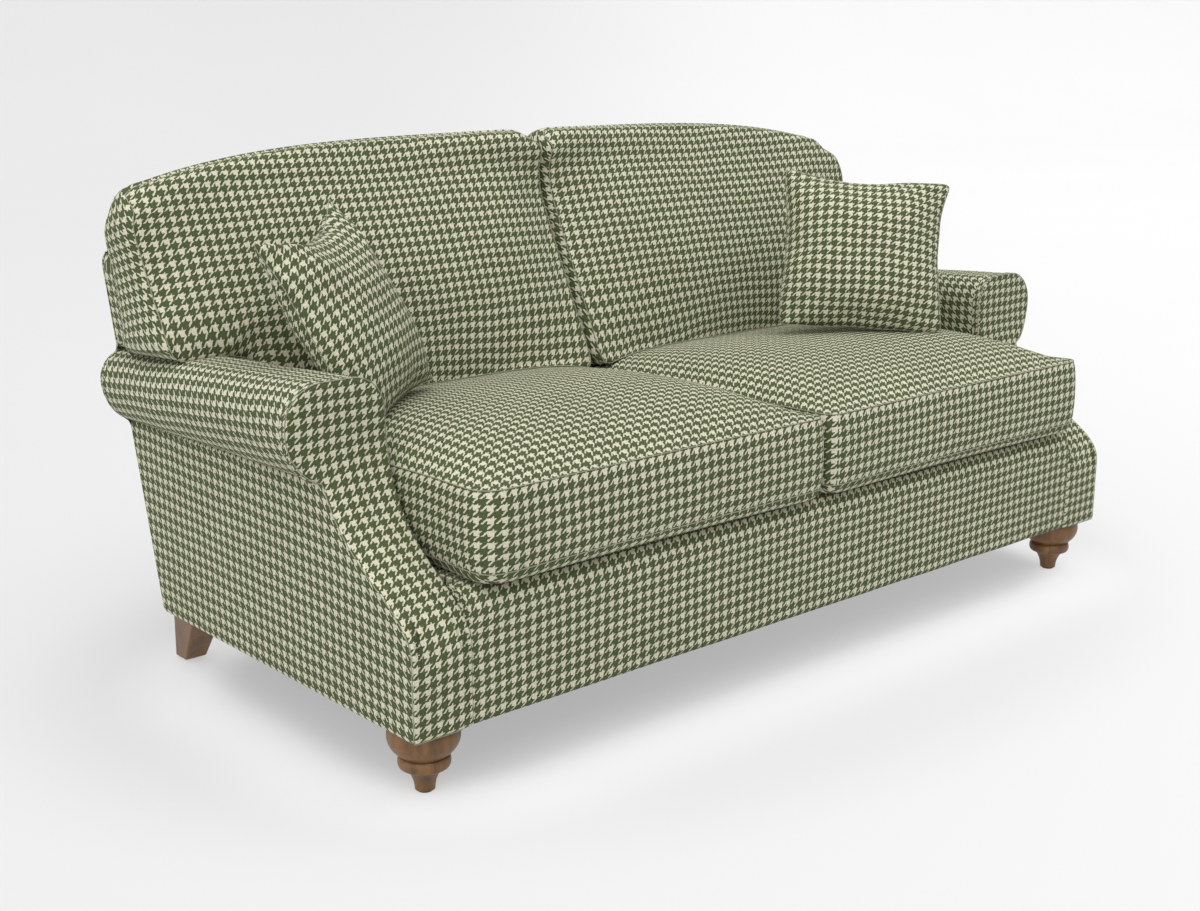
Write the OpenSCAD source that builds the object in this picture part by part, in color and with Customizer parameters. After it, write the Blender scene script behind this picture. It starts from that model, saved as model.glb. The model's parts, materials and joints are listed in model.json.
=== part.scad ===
// Roll-arm sofa for three, with loose seat, back and scatter cushions on a webbed and sprung
// timber frame. Millimetres. X runs across the sofa, the front faces -Y, and the feet stand on Z = 0.
// Sizes along Y are worked out from the front of the body, and place() then centres the whole sofa.

/* [Body] */
// Width across the outside arm panels
body_w = 1800; // [1600:10:2200]
// Depth of the underside of the body
body_d = 795; // [760:5:900]
// Height of the underside of the body above the floor
foot_h = 113; // [100:1:140]
// Height of the top of the frame's back
back_h = 765; // [720:5:860]
// Lean of the back from upright, in degrees
back_rake = 14; // [10:1:17]
// Height of the top of the front rail's upholstery
rail_h = 328; // [300:2:350]
// Radius of the front rail's upper edge
rail_edge_r = 45; // [20:1:55]

/* [Arms] */
// Height of the top of the arm rolls
arm_h = 626; // [600:2:680]
// Thickness of an arm between its inside and its outside panel
arm_t = 128; // [110:2:170]
// How far a roll stands out past the outside panel
roll_over = 54; // [44:1:66]
// How far the top of an arm falls from its front to its back
arm_fall = 44; // [0:2:50]
// How much a roll's radius lessens from its front to its back
roll_taper = 14; // [0:1:18]
// How far a roll's underside falls from its front to its back
under_fall = 12; // [0:1:18]
// Height of a roll from its underside to its top
roll_drop = 156; // [150:2:180]
// Radius of a roll's inner upper edge
roll_in_r = 58; // [36:1:60]
// How far the top of the arm's front is set back
neck_set = 238; // [150:2:260]
// Height at which the arm's front starts to lean back
knee_h = 245; // [220:1:260]
// Height at which the arm's front is upright again
neck_h = 545; // [500:1:560]
// How long the knee's curve keeps to its upright start
knee_pull = 95; // [60:1:110]
// How long the neck's curve keeps to its upright end
neck_pull = 195; // [120:1:200]
// How far the facing's lower inner seam lies outside the arm's inner face
seam_step = 15; // [5:1:20]

/* [Upholstery] */
// Thickness of the padded facings and of the front border
facing_t = 20; // [12:1:26]
// Depth of the front border's top, from the front of the body
border_back = 64; // [56:1:80]
// Thickness of the padding round an arm
arm_pad = 20; // [12:1:26]
// Thickness of the outside arm panels and of the back's side edges
side_t = 14; // [8:1:20]
// Thickness of the outside back panel, measured level
back_skin = 8; // [5:1:14]
// Thickness of the inside back padding, measured level
back_pad = 29; // [20:1:40]
// Thickness of the padding over the back's top rail
top_pad = 18; // [10:1:24]
// Thickness of the seat platform
platform_t = 25; // [15:1:30]
// Thickness of the dust cover under the frame
dust_t = 2; // [1:0.5:4]

/* [Frame] */
// Thickness of the scroll boards in the arms' fronts
board_t = 18; // [12:1:22]
// Thickness of the front rail
rail_t = 30; // [22:1:34]
// Thickness of the side rails
side_rail_t = 25; // [18:1:30]
// Height of the side rails
side_rail_h = 170; // [120:2:180]
// Height of the lower back rail
back_rail_h = 100; // [80:2:130]
// Height of the rail that the seat springs and back webbing start from
spring_rail_h = 66; // [56:1:80]
// Height of the top back rail
top_rail_h = 60; // [40:1:80]
// Depth of the back posts, measured level
post_t = 36; // [28:1:44]
// Width of the back posts
post_w = 40; // [30:1:50]
// Width of the centre post and the centre rail
centre_w = 30; // [24:1:44]
// Height of the centre rail
centre_h = 70; // [50:1:90]
// Thickness of the slats in an arm
slat_t = 18; // [12:1:20]
// Width of the slats in an arm
slat_w = 36; // [24:1:38]
// Length of a corner block along the sofa's depth
block_l = 70; // [60:1:90]
// Height of a corner block
block_h = 50; // [40:1:60]

/* [Springs and webbing] */
// Most room between two seat springs
spring_gap = 150; // [110:5:200]
// Wire radius of the seat springs
wire_r = 1.9; // [1.5:0.1:2.5]
// Straight length of a spring's legs
leg_l = 34; // [24:1:44]
// Wanted distance between two legs of a spring
leg_pitch = 58; // [50:1:70]
// Width of a spring clip
clip_w = 16; // [10:1:22]
// Height of a spring clip
clip_h = 12; // [10:1:14]
// Width of a webbing strap
strap_w = 50; // [30:1:60]
// Most distance between two straps
strap_gap = 130; // [90:5:180]
// Thickness of a strap
strap_t = 2; // [1:0.5:3]

/* [Feet] */
// Inset of the front feet's axes from the body's sides
foot_in = 63; // [60:1:75]
// Inset of the front feet's axes from the body's front
foot_back = 66; // [62:1:80]
// Largest radius of a front foot's bulb
bulb_r = 58; // [48:1:60]
// Height of the bulb's widest point
bulb_z = 95; // [88:1:98]
// Half height of the bulb if it were whole
bulb_b = 43.7; // [40:0.1:48]
// Radius of the ring under the bulb
ring_r = 42; // [36:1:46]
// Height of the ring's middle
ring_z = 51; // [48:1:54]
// Half height of the ring
ring_b = 10; // [7:1:12]
// Depth of the groove above and below the ring
ring_cut = 5; // [3:1:8]
// Radius of a front foot's tip
tip_r = 16; // [15:1:20]
// Radius of the cove where it meets the ring
cove_r = 31; // [26:1:35]
// Width of a rear foot's top
rear_top_w = 62; // [50:1:64]
// Depth of a rear foot's top
rear_top_d = 76; // [60:1:78]
// Width of a rear foot's tip
rear_tip_w = 43; // [34:1:46]
// Depth of a rear foot's tip
rear_tip_d = 41; // [34:1:46]
// Inset of a rear foot's top from the body's side
rear_in = 16; // [15:1:22]
// Gap between a rear foot's top and the body's lower back edge
rear_edge = 7; // [2:1:12]
// How far a rear foot's outer face leans in at its tip
rear_lean = 26; // [10:1:30]
// How far a rear foot's tip reaches back past its top
rear_reach = 55; // [20:1:60]
// Radius of the threaded studs
stud_r = 4; // [3:0.5:5]
// Length of a stud inside a foot
stud_in = 25; // [18:1:30]
// Radius of the glides
glide_r = 12; // [9:1:14]
// Thickness of a glide's head
glide_t = 3; // [2:0.5:5]

/* [Seat cushions] */
// Backward tilt of the seat, in degrees
seat_tilt = 1.5; // [1:0.5:3]
// Height of a seat cushion's border between its seams
seat_border = 130; // [100:2:150]
// Height of the crown above the upper seam
seat_crown = 63; // [40:1:75]
// Depth of the belly below the lower seam
seat_under = 21; // [10:1:26]
// How far the seat cushions reach past the front of the body
seat_over = 14; // [5:1:30]
// Distance of the crown's highest point from the front of the body
seat_peak = 330; // [300:5:380]
// Radius of a seat cushion's outer front corner
seat_corner_r = 40; // [20:1:60]
// How far its outer front corner reaches out in front of the arm
seat_ear = 20; // [0:1:24]
// Depth of the part that reaches out in front of the arm
seat_ear_d = 90; // [75:1:100]
// How far the seams draw in between the corners
seat_draw = 5; // [2:1:10]
// How far the borders bulge between their seams
seat_bulge = 6; // [3:1:10]
// Gap between the upper seams of the two seat cushions
seat_gap = 14; // [13:1:24]
// Thickness of a fold of seam at the cushions' edges
seam_t = 4; // [3:0.5:6]

/* [Back cushions] */
// Thickness of a back cushion between its seams
back_border = 132; // [100:2:150]
// Height of the front crown
back_crown = 66; // [40:1:75]
// Height of the rear crown
back_rear = 18; // [8:1:24]
// Height of the top of the back cushions at the middle of the sofa
cushion_top = 950; // [900:5:1010]
// How far the top line falls towards the arms
top_fall = 66; // [30:1:80]
// How far a back cushion stands out past the body's side, over the arm
ear_out = 22; // [10:1:30]
// Radius of a back cushion's outer upper corner
ear_r = 62; // [40:1:80]
// Gap between the front seams of the two back cushions
back_gap = 28; // [27:1:40]
// How far the borders bulge at the sides
back_bulge = 13; // [6:1:13]
// How far the border bulges along the top
top_bulge = 30; // [15:1:40]
// How far the seams draw in between the corners
back_draw = 6; // [2:1:10]

/* [Scatter cushions] */
// Size of a scatter cushion from tip to tip along a side
scatter_l = 345; // [320:1:360]
// Thickness of a scatter cushion at its middle
scatter_t = 140; // [100:2:150]
// How far its sides draw in between the tips
scatter_draw = 17; // [8:1:24]
// Distance of the left scatter cushion's middle from the arm
left_in = 104; // [90:2:160]
// Distance of the left scatter cushion's middle in front of the body's lower back edge
left_fore = 307; // [300:2:400]
// Distance of the right scatter cushion's middle from the arm
right_in = 245; // [230:5:400]
// Distance of the right scatter cushion's middle in front of the body's lower back edge
right_fore = 433; // [425:5:500]

/* [Clearances] */
// Gap between a loose cushion and what it rests on or lies against
rest_gap = 0.3; // [0.2:0.1:0.6]
// Gap round a stud, a pin or a wire in its hole
bore_gap = 0.1; // [0.05:0.05:0.2]
// Gap between a loose cushion and the arms beside it
side_gap = 3; // [2:0.5:6]

/* [Hidden] */

half_w = body_w / 2;
// Inner face of an arm
arm_in = half_w - arm_t;
// Outer face of the timber inside an arm, which is also the roll's middle
core_out = half_w - side_t;
// Timber starts here, on top of the dust cover
wood_z = foot_h + dust_t;
roll_r = side_t + roll_over;
roll_z = arm_h - roll_r;
cover_z = rail_h - facing_t + 2;
rail_top = rail_h - facing_t;
arc_n = 8;
eps = 0.01;

// Y of a plane that leans with the back, a level distance in front of the outside back
function back_y(z, d) = body_d + (z - foot_h) * tan(back_rake) - d;
post_face = back_skin + post_t;
web_face = post_face + strap_t;
back_face = web_face + back_pad;

function arc(c, r, a0, a1, n = arc_n) =
  [for (i = [0:n]) let (a = a0 + (a1 - a0) * i / n) [c[0] + r[0] * cos(a), c[1] + r[1] * sin(a)]];
function bezier(p, t) = pow(1 - t, 3) * p[0] + 3 * t * pow(1 - t, 2) * p[1]
  + 3 * t * t * (1 - t) * p[2] + pow(t, 3) * p[3];
function reverse(l) = [for (i = [len(l) - 1:-1:0]) l[i]];
function clamp(v, lo, hi) = min(max(v, lo), hi);
function cat(l) = [for (part = l) for (p = part) p];

// The arm's front in side view: upright, then back over the knee, then upright again
knee_n = 16;
s_table = [for (i = [0:knee_n]) bezier([[knee_h, 0], [knee_h + knee_pull, 0],
  [neck_h - neck_pull, neck_set], [neck_h, neck_set]], i / knee_n)];
function s_y(z) = z <= knee_h ? 0 : z >= neck_h ? neck_set : lookup(z, s_table);
function s_line(z0, z1, d) = cat([[[s_y(z0) + d, z0]],
  [for (p = s_table) if (p[0] > z0 + eps && p[0] < z1 - eps) [p[1] + d, p[0]]], [[s_y(z1) + d, z1]]]);

// An arm's roll gets lower and smaller towards the back; its sizes at a distance y
roll_end = back_y(roll_z, 0);
function along_arm(y) = (y - neck_set) / (roll_end - neck_set);
function top_z(y) = arm_h - arm_fall * along_arm(y);
function reach(y) = roll_r - roll_taper * along_arm(y);
function under_z(y) = arm_h - roll_drop - under_fall * along_arm(y);
// Outline of the roll in front view at y, set in by d, from its inside up and over to its underside
function roll_line(y, d, z0) = let (r = reach(y), m = top_z(y) - r) cat([[[arm_in + d, z0]],
  arc([arm_in + roll_in_r, top_z(y) - roll_in_r], [roll_in_r - d, roll_in_r - d], 180, 90),
  arc([core_out, m], [r - d, r - d], 90, 0),
  [for (i = [1:arc_n]) let (a = -90 * i / arc_n) [core_out + (r - d) * cos(a), m + (m - under_z(y) - d) * sin(a)]]]);

// Extrudes a Y, Z outline across the sofa, and an X, Z outline along its depth
module across(x0, x1) {
  translate([x0, 0, 0]) rotate([90, 0, 90]) linear_extrude(x1 - x0) children();
}
module along(y0, y1) {
  translate([0, y1, 0]) rotate([90, 0, 0]) linear_extrude(y1 - y0) children();
}
// A solid between an outline at y0 and its match at y1
y0 = -10;
y1 = 1.5 * body_d;
module loft(a, b) {
  n = len(a);
  polyhedron(points = cat([[for (p = a) [p[0], y0, p[1]]], [for (p = b) [p[0], y1, p[1]]]]),
    faces = cat([[[for (i = [0:n - 1]) i], [for (i = [n - 1:-1:0]) n + i]],
      [for (i = [0:n - 1]) let (j = (i + 1) % n) each [[i, n + i, j], [j, n + i, n + j]]]]));
}
// The whole roll set in by d, closed from its underside down to z0 at its inside
module roll_solid(d, z0) {
  loft(roll_line(y0, d, z0), roll_line(y1, d, z0));
}
module place() {
  translate([0, -mid_y, 0]) children();
}
module left_of() {
  mirror([1, 0, 0]) children();
}
module both() {
  children();
  mirror([1, 0, 0]) children();
}
// A board or panel that leans with the back, between two heights and two level depths
module leaning(x0, x1, z0, z1, d0, d1) {
  across(x0, x1) polygon([[back_y(z0, d1), z0], [back_y(z0, d0), z0],
    [back_y(z1, d0), z1], [back_y(z1, d1), z1]]);
}
// A bar that runs back inside an arm, from the scroll board to the back post
module arm_bar(x0, x1, z0, z1) {
  across(x0, x1) polygon(cat([s_line(z0, z1, facing_t + board_t),
    [[back_y(z1, post_face), z1], [back_y(z0, post_face), z0]]]));
}
// The same, but with its upper edge falling from z1 with the roll, by the given amount
module falling_bar(x0, x1, z1, h, fall) {
  intersection() {
    arm_bar(x0, x1, z1 - h - fall - 1, z1 + fall);
    across(x0, x1) polygon([[neck_set, z1], [neck_set, z1 - h], [roll_end, z1 - h - fall], [roll_end, z1 - fall]]);
  }
}

// ---- Timber frame
block_in = arm_in + seam_step;
module front_rail() {
  color("burlywood") place() translate([-block_in, facing_t, wood_z])
    cube([2 * block_in, rail_t, rail_top - wood_z]);
}
block_out = core_out - side_rail_t;
module back_rail() {
  color("burlywood") place()
    leaning(-block_in, block_in, wood_z, wood_z + back_rail_h, back_skin + rest_gap, post_face);
}
module side_rail() {
  arm_bar(block_out, core_out, wood_z, wood_z + side_rail_h);
}
module side_rail_left() {
  color("tan") place() left_of() side_rail();
}
module side_rail_right() {
  color("tan") place() side_rail();
}
module centre_rail() {
  color("tan") place() across(-centre_w / 2, centre_w / 2)
    polygon([[facing_t + rail_t, wood_z], [back_y(wood_z, post_face), wood_z],
      [back_y(wood_z + centre_h, post_face), wood_z + centre_h], [facing_t + rail_t, wood_z + centre_h]]);
}
// Middle of each foot's stud, front and rear
stud_front = [half_w - foot_in, foot_back];
rear_out = half_w - rear_in;
rear_back = body_d - rear_edge;
stud_rear = [rear_out - rear_top_w * 0.75, rear_back - rear_top_d * 0.45];
stud_top = wood_z + block_h - 5;
nut_l = 15;
nut_wall = 1.2;
module stud_holes() {
  for (p = [stud_front, stud_rear]) {
    translate([p[0], p[1], wood_z - 5]) cylinder(r = stud_r + 0.5, h = block_h + 10, $fn = 32);
    translate([p[0], p[1], wood_z + block_h - nut_l])
      cylinder(r = stud_r + nut_wall + 2 * bore_gap, h = nut_l + 5, $fn = 32);
  }
}
module corner_blocks() {
  color("peru") place() both() difference() {
    union() {
      translate([block_in, facing_t + board_t, wood_z])
        cube([block_out - block_in, block_l, block_h]);
      across(block_in, block_out) polygon([[back_y(wood_z, post_face) - block_l / 2, wood_z],
        [back_y(wood_z, back_skin), wood_z], [back_y(wood_z + block_h, back_skin), wood_z + block_h],
        [back_y(wood_z, post_face) - block_l / 2, wood_z + block_h]]);
    }
    stud_holes();
  }
}
module scroll_board() {
  intersection() {
    across(arm_in, half_w + roll_over) polygon(cat([s_line(wood_z, arm_h, facing_t),
      reverse(s_line(wood_z, arm_h, facing_t + board_t))]));
    union() {
      roll_solid(arm_pad, cover_z);
      translate([block_in, 0, wood_z]) cube([core_out - block_in, body_d, cover_z - wood_z]);
      translate([arm_in + arm_pad, 0, wood_z])
        cube([core_out - arm_in - arm_pad, body_d, arm_h - roll_r - wood_z]);
    }
  }
}
module scroll_board_left() {
  color("wheat") place() left_of() scroll_board();
}
module scroll_board_right() {
  color("wheat") place() scroll_board();
}
module arm_slats() {
  // Under the flat top of the roll
  falling_bar(core_out - slat_w - slat_t, core_out - slat_t, arm_h - arm_pad, slat_t, arm_fall);
  // Along the widest line of the roll
  out = core_out + reach(roll_end) - arm_pad - 2;
  falling_bar(out - slat_t, out, roll_z + slat_t / 2, slat_t, arm_fall - roll_taper);
  // Above the outside panel
  arm_bar(core_out - slat_t, core_out, arm_h - roll_drop + arm_pad, arm_h - roll_drop + arm_pad + slat_w);
  // Beside the seat, where the inside arm is tacked
  arm_bar(arm_in + arm_pad, arm_in + arm_pad + slat_t, rail_h + 4, rail_h + 4 + slat_w);
}
module arm_slats_left() {
  color("tan") place() left_of() arm_slats();
}
module arm_slats_right() {
  color("tan") place() arm_slats();
}
// The post stands on the rear corner block and carries the rear end of the roll
module back_post() {
  leaning(core_out - post_w, core_out, wood_z + block_h, back_h - top_pad, back_skin, post_face);
  intersection() {
    leaning(arm_in - 1, half_w + roll_over + 1, arm_h - roll_drop - under_fall, arm_h, back_skin, post_face);
    roll_solid(0, arm_h - roll_drop - under_fall);
  }
}
module back_post_left() {
  color("wheat") place() left_of() union() back_post();
}
module back_post_right() {
  color("wheat") place() union() back_post();
}
post_in = core_out - post_w;
module top_rail() {
  color("burlywood") place()
    leaning(-post_in, post_in, back_h - top_pad - top_rail_h, back_h - top_pad, back_skin, post_face);
}
// The seat's plane: level over the front rail, then falling towards the back
function seat_z(y) = rail_h - max(0, y - border_back) * tan(seat_tilt);
// Y where the seat's plane, lowered by a drop, meets a plane that leans with the back
function seat_meets(drop, d) = (body_d + (rail_h - drop + border_back * tan(seat_tilt) - foot_h)
  * tan(back_rake) - d) / (1 + tan(seat_tilt) * tan(back_rake));
spring_z0 = seat_z(back_y(rail_h, post_face)) - platform_t - wire_r - clip_h;
module spring_rail() {
  color("burlywood") place()
    leaning(-post_in, post_in, spring_z0, spring_z0 + spring_rail_h, back_skin, post_face);
}
module centre_post() {
  color("tan") place() leaning(-centre_w / 2, centre_w / 2, spring_z0 + spring_rail_h,
    back_h - top_pad - top_rail_h, back_skin, post_face);
}

// ---- Springs and webbing
spring_span = 2 * (arm_in - leg_l / 2 - leg_pitch);
spring_n = ceil(spring_span / spring_gap) + 1;
function spring_x(i) = -spring_span / 2 + spring_span * i / (spring_n - 1);
// The springs lie just under the platform, between eyes on the front rail and the spring rail
eye_d = 5;
clip_d = 9;
function wire_z(y) = rail_h - (y - border_back) * tan(seat_tilt) - platform_t - wire_r - rest_gap;
eye_y0 = facing_t + rail_t + eye_d;
eye_y1 = back_y(wire_z(back_y(rail_h, post_face)), post_face) - eye_d;
eye_len = (eye_y1 - eye_y0) / cos(seat_tilt);
leg_n = 2 * floor(eye_len / leg_pitch / 2) + 1;
leg_step = eye_len / (leg_n - 1);
wire_sides = 6;
turn_steps = 3;
// One zigzag as a single bent wire: straight legs across, joined by half turns at alternate ends
function turn_side(i) = i % 2 == 0 ? 1 : -1;
wire_path = concat([[-leg_l / 2, 0]],
  [for (i = [0:leg_n - 2], j = [0:turn_steps]) let (a = -90 + 180 * j / turn_steps)
    [turn_side(i) * (leg_l / 2 + leg_step / 2 * cos(a)), (i + 0.5 + sin(a) / 2) * leg_step]],
  [[-turn_side(leg_n - 2) * leg_l / 2, (leg_n - 1) * leg_step]]);
wire_last = len(wire_path) - 1;
function unit(v) = v / norm(v);
function sideways(v) = [-v[1], v[0]];
// Sideways direction at a point of the wire, longer where the wire bends so that its section stays the same
function mitre(i) = let (a = sideways(unit(wire_path[max(i, 1)] - wire_path[max(i, 1) - 1])),
  b = sideways(unit(wire_path[min(i + 1, wire_last)] - wire_path[min(i, wire_last - 1)])),
  m = unit(a + b)) m / (m * a);
module spring() {
  n = wire_sides;
  polyhedron(
    points = [for (i = [0:wire_last], k = [0:n - 1]) let (a = 360 * (k + 0.5) / n, q = wire_path[i],
      w = wire_r * cos(a) * mitre(i)) [q[0] + w[0], q[1] + w[1], wire_r * sin(a)]],
    faces = concat([[for (k = [0:n - 1]) k]], [[for (k = [0:n - 1]) wire_last * n + n - 1 - k]],
      [for (i = [0:wire_last - 1], k = [0:n - 1], t = [0, 1]) let (a = i * n + (k + 1) % n, b = i * n + k)
        t == 0 ? [a, b, b + n] : [a, b + n, a + n]]));
}
module seat_springs() {
  color("silver") place() for (k = [0:spring_n - 1]) {
    translate([spring_x(k), eye_y0, wire_z(eye_y0)]) rotate([-seat_tilt, 0, 0]) spring();
  }
}
module spring_clips() {
  color("dimgray") place() for (k = [0:spring_n - 1]) {
    zf = wire_z(eye_y0);
    zr = wire_z(eye_y1);
    difference() {
      translate([spring_x(k) - clip_w / 2, facing_t + rail_t, zf - clip_h / 2]) cube([clip_w, clip_d, clip_h]);
      translate([spring_x(k), eye_y0, zf]) rotate([0, 90, 0])
        cylinder(r = wire_r + bore_gap, h = clip_w + 2, center = true, $fn = 24);
    }
    difference() {
      across(spring_x(k) - clip_w / 2, spring_x(k) + clip_w / 2)
        polygon([[eye_y1 + eye_d - clip_d, zr - clip_h / 2], [back_y(zr - clip_h / 2, post_face), zr - clip_h / 2],
          [back_y(zr + clip_h / 2, post_face), zr + clip_h / 2], [eye_y1 + eye_d - clip_d, zr + clip_h / 2]]);
      translate([spring_x(k), eye_y1, zr]) rotate([0, 90, 0])
        cylinder(r = wire_r + bore_gap, h = clip_w + 2, center = true, $fn = 24);
    }
  }
}
strap_span = 2 * (arm_in - strap_w);
strap_n = ceil(strap_span / strap_gap) + 1;
strap_z0 = spring_z0 + spring_rail_h - 30;
module back_webbing() {
  color("saddlebrown") place() for (k = [0:strap_n - 1]) {
    x = -strap_span / 2 + strap_span * k / (strap_n - 1);
    leaning(x - strap_w / 2, x + strap_w / 2, strap_z0, back_h - top_pad - 6, post_face, web_face - bore_gap);
  }
}

// ---- Upholstery
module seat_platform() {
  y0 = border_back;
  y1 = seat_meets(platform_t, back_face + bore_gap);
  y2 = seat_meets(0, back_face + bore_gap);
  color("ivory") place() across(-arm_in, arm_in)
    polygon([[y0, rail_h - platform_t], [y1, seat_z(y1) - platform_t], [y2, seat_z(y2)], [y0, rail_h]]);
}
module front_border() {
  edge = arc([rail_edge_r, rail_h - rail_edge_r], [rail_edge_r, rail_edge_r], 180, 90, 2 * arc_n);
  rail_cap = cat([[[0, foot_h]], edge, [[border_back, rail_h], [border_back, rail_top],
    [facing_t, rail_top], [facing_t, foot_h]]]);
  color("darkseagreen") place() across(-block_in, block_in) polygon(rail_cap);
}
module arm_facing() {
  intersection() {
    across(arm_in - 1, half_w + roll_over + 1) polygon(cat([s_line(foot_h, arm_h, 0),
      reverse(s_line(foot_h, arm_h, facing_t))]));
    along(-1, body_d) polygon(cat([[[block_in, foot_h], [block_in, rail_h]], roll_line(neck_set, 0, rail_h),
      [[half_w, arm_h - roll_drop], [half_w, foot_h]]]));
  }
}
module arm_facing_left() {
  color("seagreen") place() left_of() arm_facing();
}
module arm_facing_right() {
  color("seagreen") place() arm_facing();
}
// Padding and cover over the inside of the arm and round the roll, open below
module arm_cover() {
  intersection() {
    across(arm_in - 1, half_w + roll_over + 1) polygon(cat([s_line(cover_z, arm_h, facing_t),
      [[back_y(arm_h, post_face), arm_h], [back_y(cover_z, post_face), cover_z]]]));
    loft(cat([roll_line(y0, 0, cover_z), reverse(roll_line(y0, arm_pad, cover_z))]),
      cat([roll_line(y1, 0, cover_z), reverse(roll_line(y1, arm_pad, cover_z))]));
  }
}
module arm_cover_left() {
  color("darkseagreen") place() left_of() arm_cover();
}
module arm_cover_right() {
  color("darkseagreen") place() arm_cover();
}
module outside_arm() {
  z1 = arm_h - roll_drop;
  z2 = under_z(back_y(z1 - under_fall, back_skin));
  across(core_out, half_w) polygon(cat([s_line(foot_h, under_z(s_y(z1) + facing_t), facing_t),
    [[back_y(z2, back_skin), z2], [back_y(foot_h, back_skin), foot_h]]]));
}
module outside_arm_left() {
  color("mediumseagreen") place() left_of() outside_arm();
}
module outside_arm_right() {
  color("mediumseagreen") place() outside_arm();
}
pad_z = strap_z0;
wing_z = top_z(back_y(arm_h - arm_fall, back_face));
module inside_back() {
  color("darkseagreen") place() union() {
    leaning(-arm_in, arm_in, pad_z, back_h, web_face, back_face);
    leaning(-half_w, half_w, wing_z, back_h, web_face, back_face);
    leaning(-half_w, half_w, back_h - top_pad, back_h, back_skin, web_face + 1);
    both() leaning(core_out, half_w, wing_z, back_h, back_skin, web_face + 1);
  }
}
module outside_back() {
  color("seagreen") place() union() {
    leaning(-half_w, half_w, foot_h, back_h, 0, back_skin);
    both() intersection() {
      leaning(arm_in, half_w + roll_over + 1, arm_h - roll_drop - under_fall, arm_h, 0, back_skin);
      roll_solid(0, arm_h - roll_drop - under_fall);
    }
  }
}
module dust_cover() {
  color("dimgray") place() difference() {
    translate([-core_out, facing_t, foot_h])
      cube([2 * core_out, body_d - back_skin - facing_t, dust_t]);
    both() for (p = [stud_front, stud_rear]) {
      translate([p[0], p[1], foot_h - 1]) cylinder(r = stud_r + 1, h = dust_t + 2, $fn = 32);
    }
  }
}

// ---- Feet
// A turned foot's outline from its tip up: cove, ring, groove and bulb
function bulb_at(z) = bulb_r * sqrt(1 - pow((z - bulb_z) / bulb_b, 2));
cove_n = 10;
bulb_n = 14;
bulb_z0 = ring_z + ring_b + 1;
foot_line = cat([[[0, glide_t]],
  [for (i = [0:cove_n]) bezier([[tip_r, glide_t], [tip_r + 1, glide_t + 20],
    [cove_r - 6, ring_z - ring_b - 7], [cove_r, ring_z - ring_b - 1]], i / cove_n)],
  [for (i = [0:cove_n]) let (a = -90 + 180 * i / cove_n)
    [ring_r - ring_cut + ring_cut * cos(a), ring_z + ring_b * sin(a)]],
  [for (i = [0:bulb_n]) let (z = bulb_z0 + (foot_h - bulb_z0) * i / bulb_n) [bulb_at(z), z]],
  [[0, foot_h]]]);
pin_r = 1.2;
pin_l = 15;
module foot_front() {
  difference() {
    translate([stud_front[0], stud_front[1], 0]) rotate_extrude($fn = 72) polygon(foot_line);
    translate([stud_front[0], stud_front[1], foot_h - stud_in])
      cylinder(r = stud_r + bore_gap, h = stud_in + 1, $fn = 32);
    translate([stud_front[0], stud_front[1], glide_t - 1])
      cylinder(r = pin_r + bore_gap, h = pin_l + 1, $fn = 24);
  }
}
module foot_front_left() {
  color("sienna") place() left_of() foot_front();
}
module foot_front_right() {
  color("sienna") place() foot_front();
}
// A rear foot is square, and leans back and in from its top to its tip
rear_tip = [rear_out - rear_lean, rear_back + rear_reach];
tip_mid = [rear_tip[0] - rear_tip_w / 2, rear_tip[1] - rear_tip_d / 2];
function plate(x, y, w, d, z) = [[x - w, y - d, z], [x, y - d, z], [x, y, z], [x - w, y, z]];
module foot_rear() {
  difference() {
    polyhedron(points = cat([plate(rear_tip[0], rear_tip[1], rear_tip_w, rear_tip_d, glide_t),
      plate(rear_out, rear_back, rear_top_w, rear_top_d, foot_h)]),
      faces = [[0, 1, 2], [0, 2, 3], [4, 6, 5], [4, 7, 6], [0, 5, 1], [0, 4, 5],
        [1, 6, 2], [1, 5, 6], [2, 7, 3], [2, 6, 7], [3, 4, 0], [3, 7, 4]]);
    translate([stud_rear[0], stud_rear[1], foot_h - stud_in])
      cylinder(r = stud_r + bore_gap, h = stud_in + 1, $fn = 32);
    translate([tip_mid[0], tip_mid[1], glide_t - 1])
      cylinder(r = pin_r + bore_gap, h = pin_l + 1, $fn = 24);
  }
}
module foot_rear_left() {
  color("sienna") place() left_of() foot_rear();
}
module foot_rear_right() {
  color("sienna") place() foot_rear();
}
module foot_studs() {
  color("silver") place() both() for (p = [stud_front, stud_rear]) {
    translate([p[0], p[1], foot_h - stud_in]) cylinder(r = stud_r, h = stud_top - foot_h + stud_in, $fn = 32);
  }
}
module foot_nuts() {
  color("gainsboro") place() both() for (p = [stud_front, stud_rear]) {
    translate([p[0], p[1], wood_z + block_h]) difference() {
      union() {
        translate([0, 0, -nut_l]) cylinder(r = stud_r + nut_wall + bore_gap, h = nut_l + 1, $fn = 32);
        cylinder(r = stud_r + 7, h = 1.5, $fn = 32);
      }
      translate([0, 0, -nut_l - 1]) cylinder(r = stud_r + bore_gap, h = nut_l + 4, $fn = 32);
    }
  }
}
module foot_glides() {
  color("dimgray") place() both() for (p = [stud_front, tip_mid]) {
    translate([p[0], p[1], 0]) union() {
      cylinder(r = glide_r, h = glide_t, $fn = 48);
      cylinder(r = pin_r, h = glide_t + pin_l, $fn = 24);
    }
  }
}

// ---- Cushions
// A boxed cushion is rings of points: the front crown from its middle out to the seam, the border
// with its bulge, the far seam, and the far crown back in to its middle.
// A point of an outline is [across, up, slope, bulge]; slope leans an edge's border with the back.
function crown(s, h, p) = h * (1 - pow(s, p));
function flat_to(s, h, f) = h * (1 - pow(max(0, s - f) / (1 - f), 2));
function unit2(v) = v / max(norm(v), eps);
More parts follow.
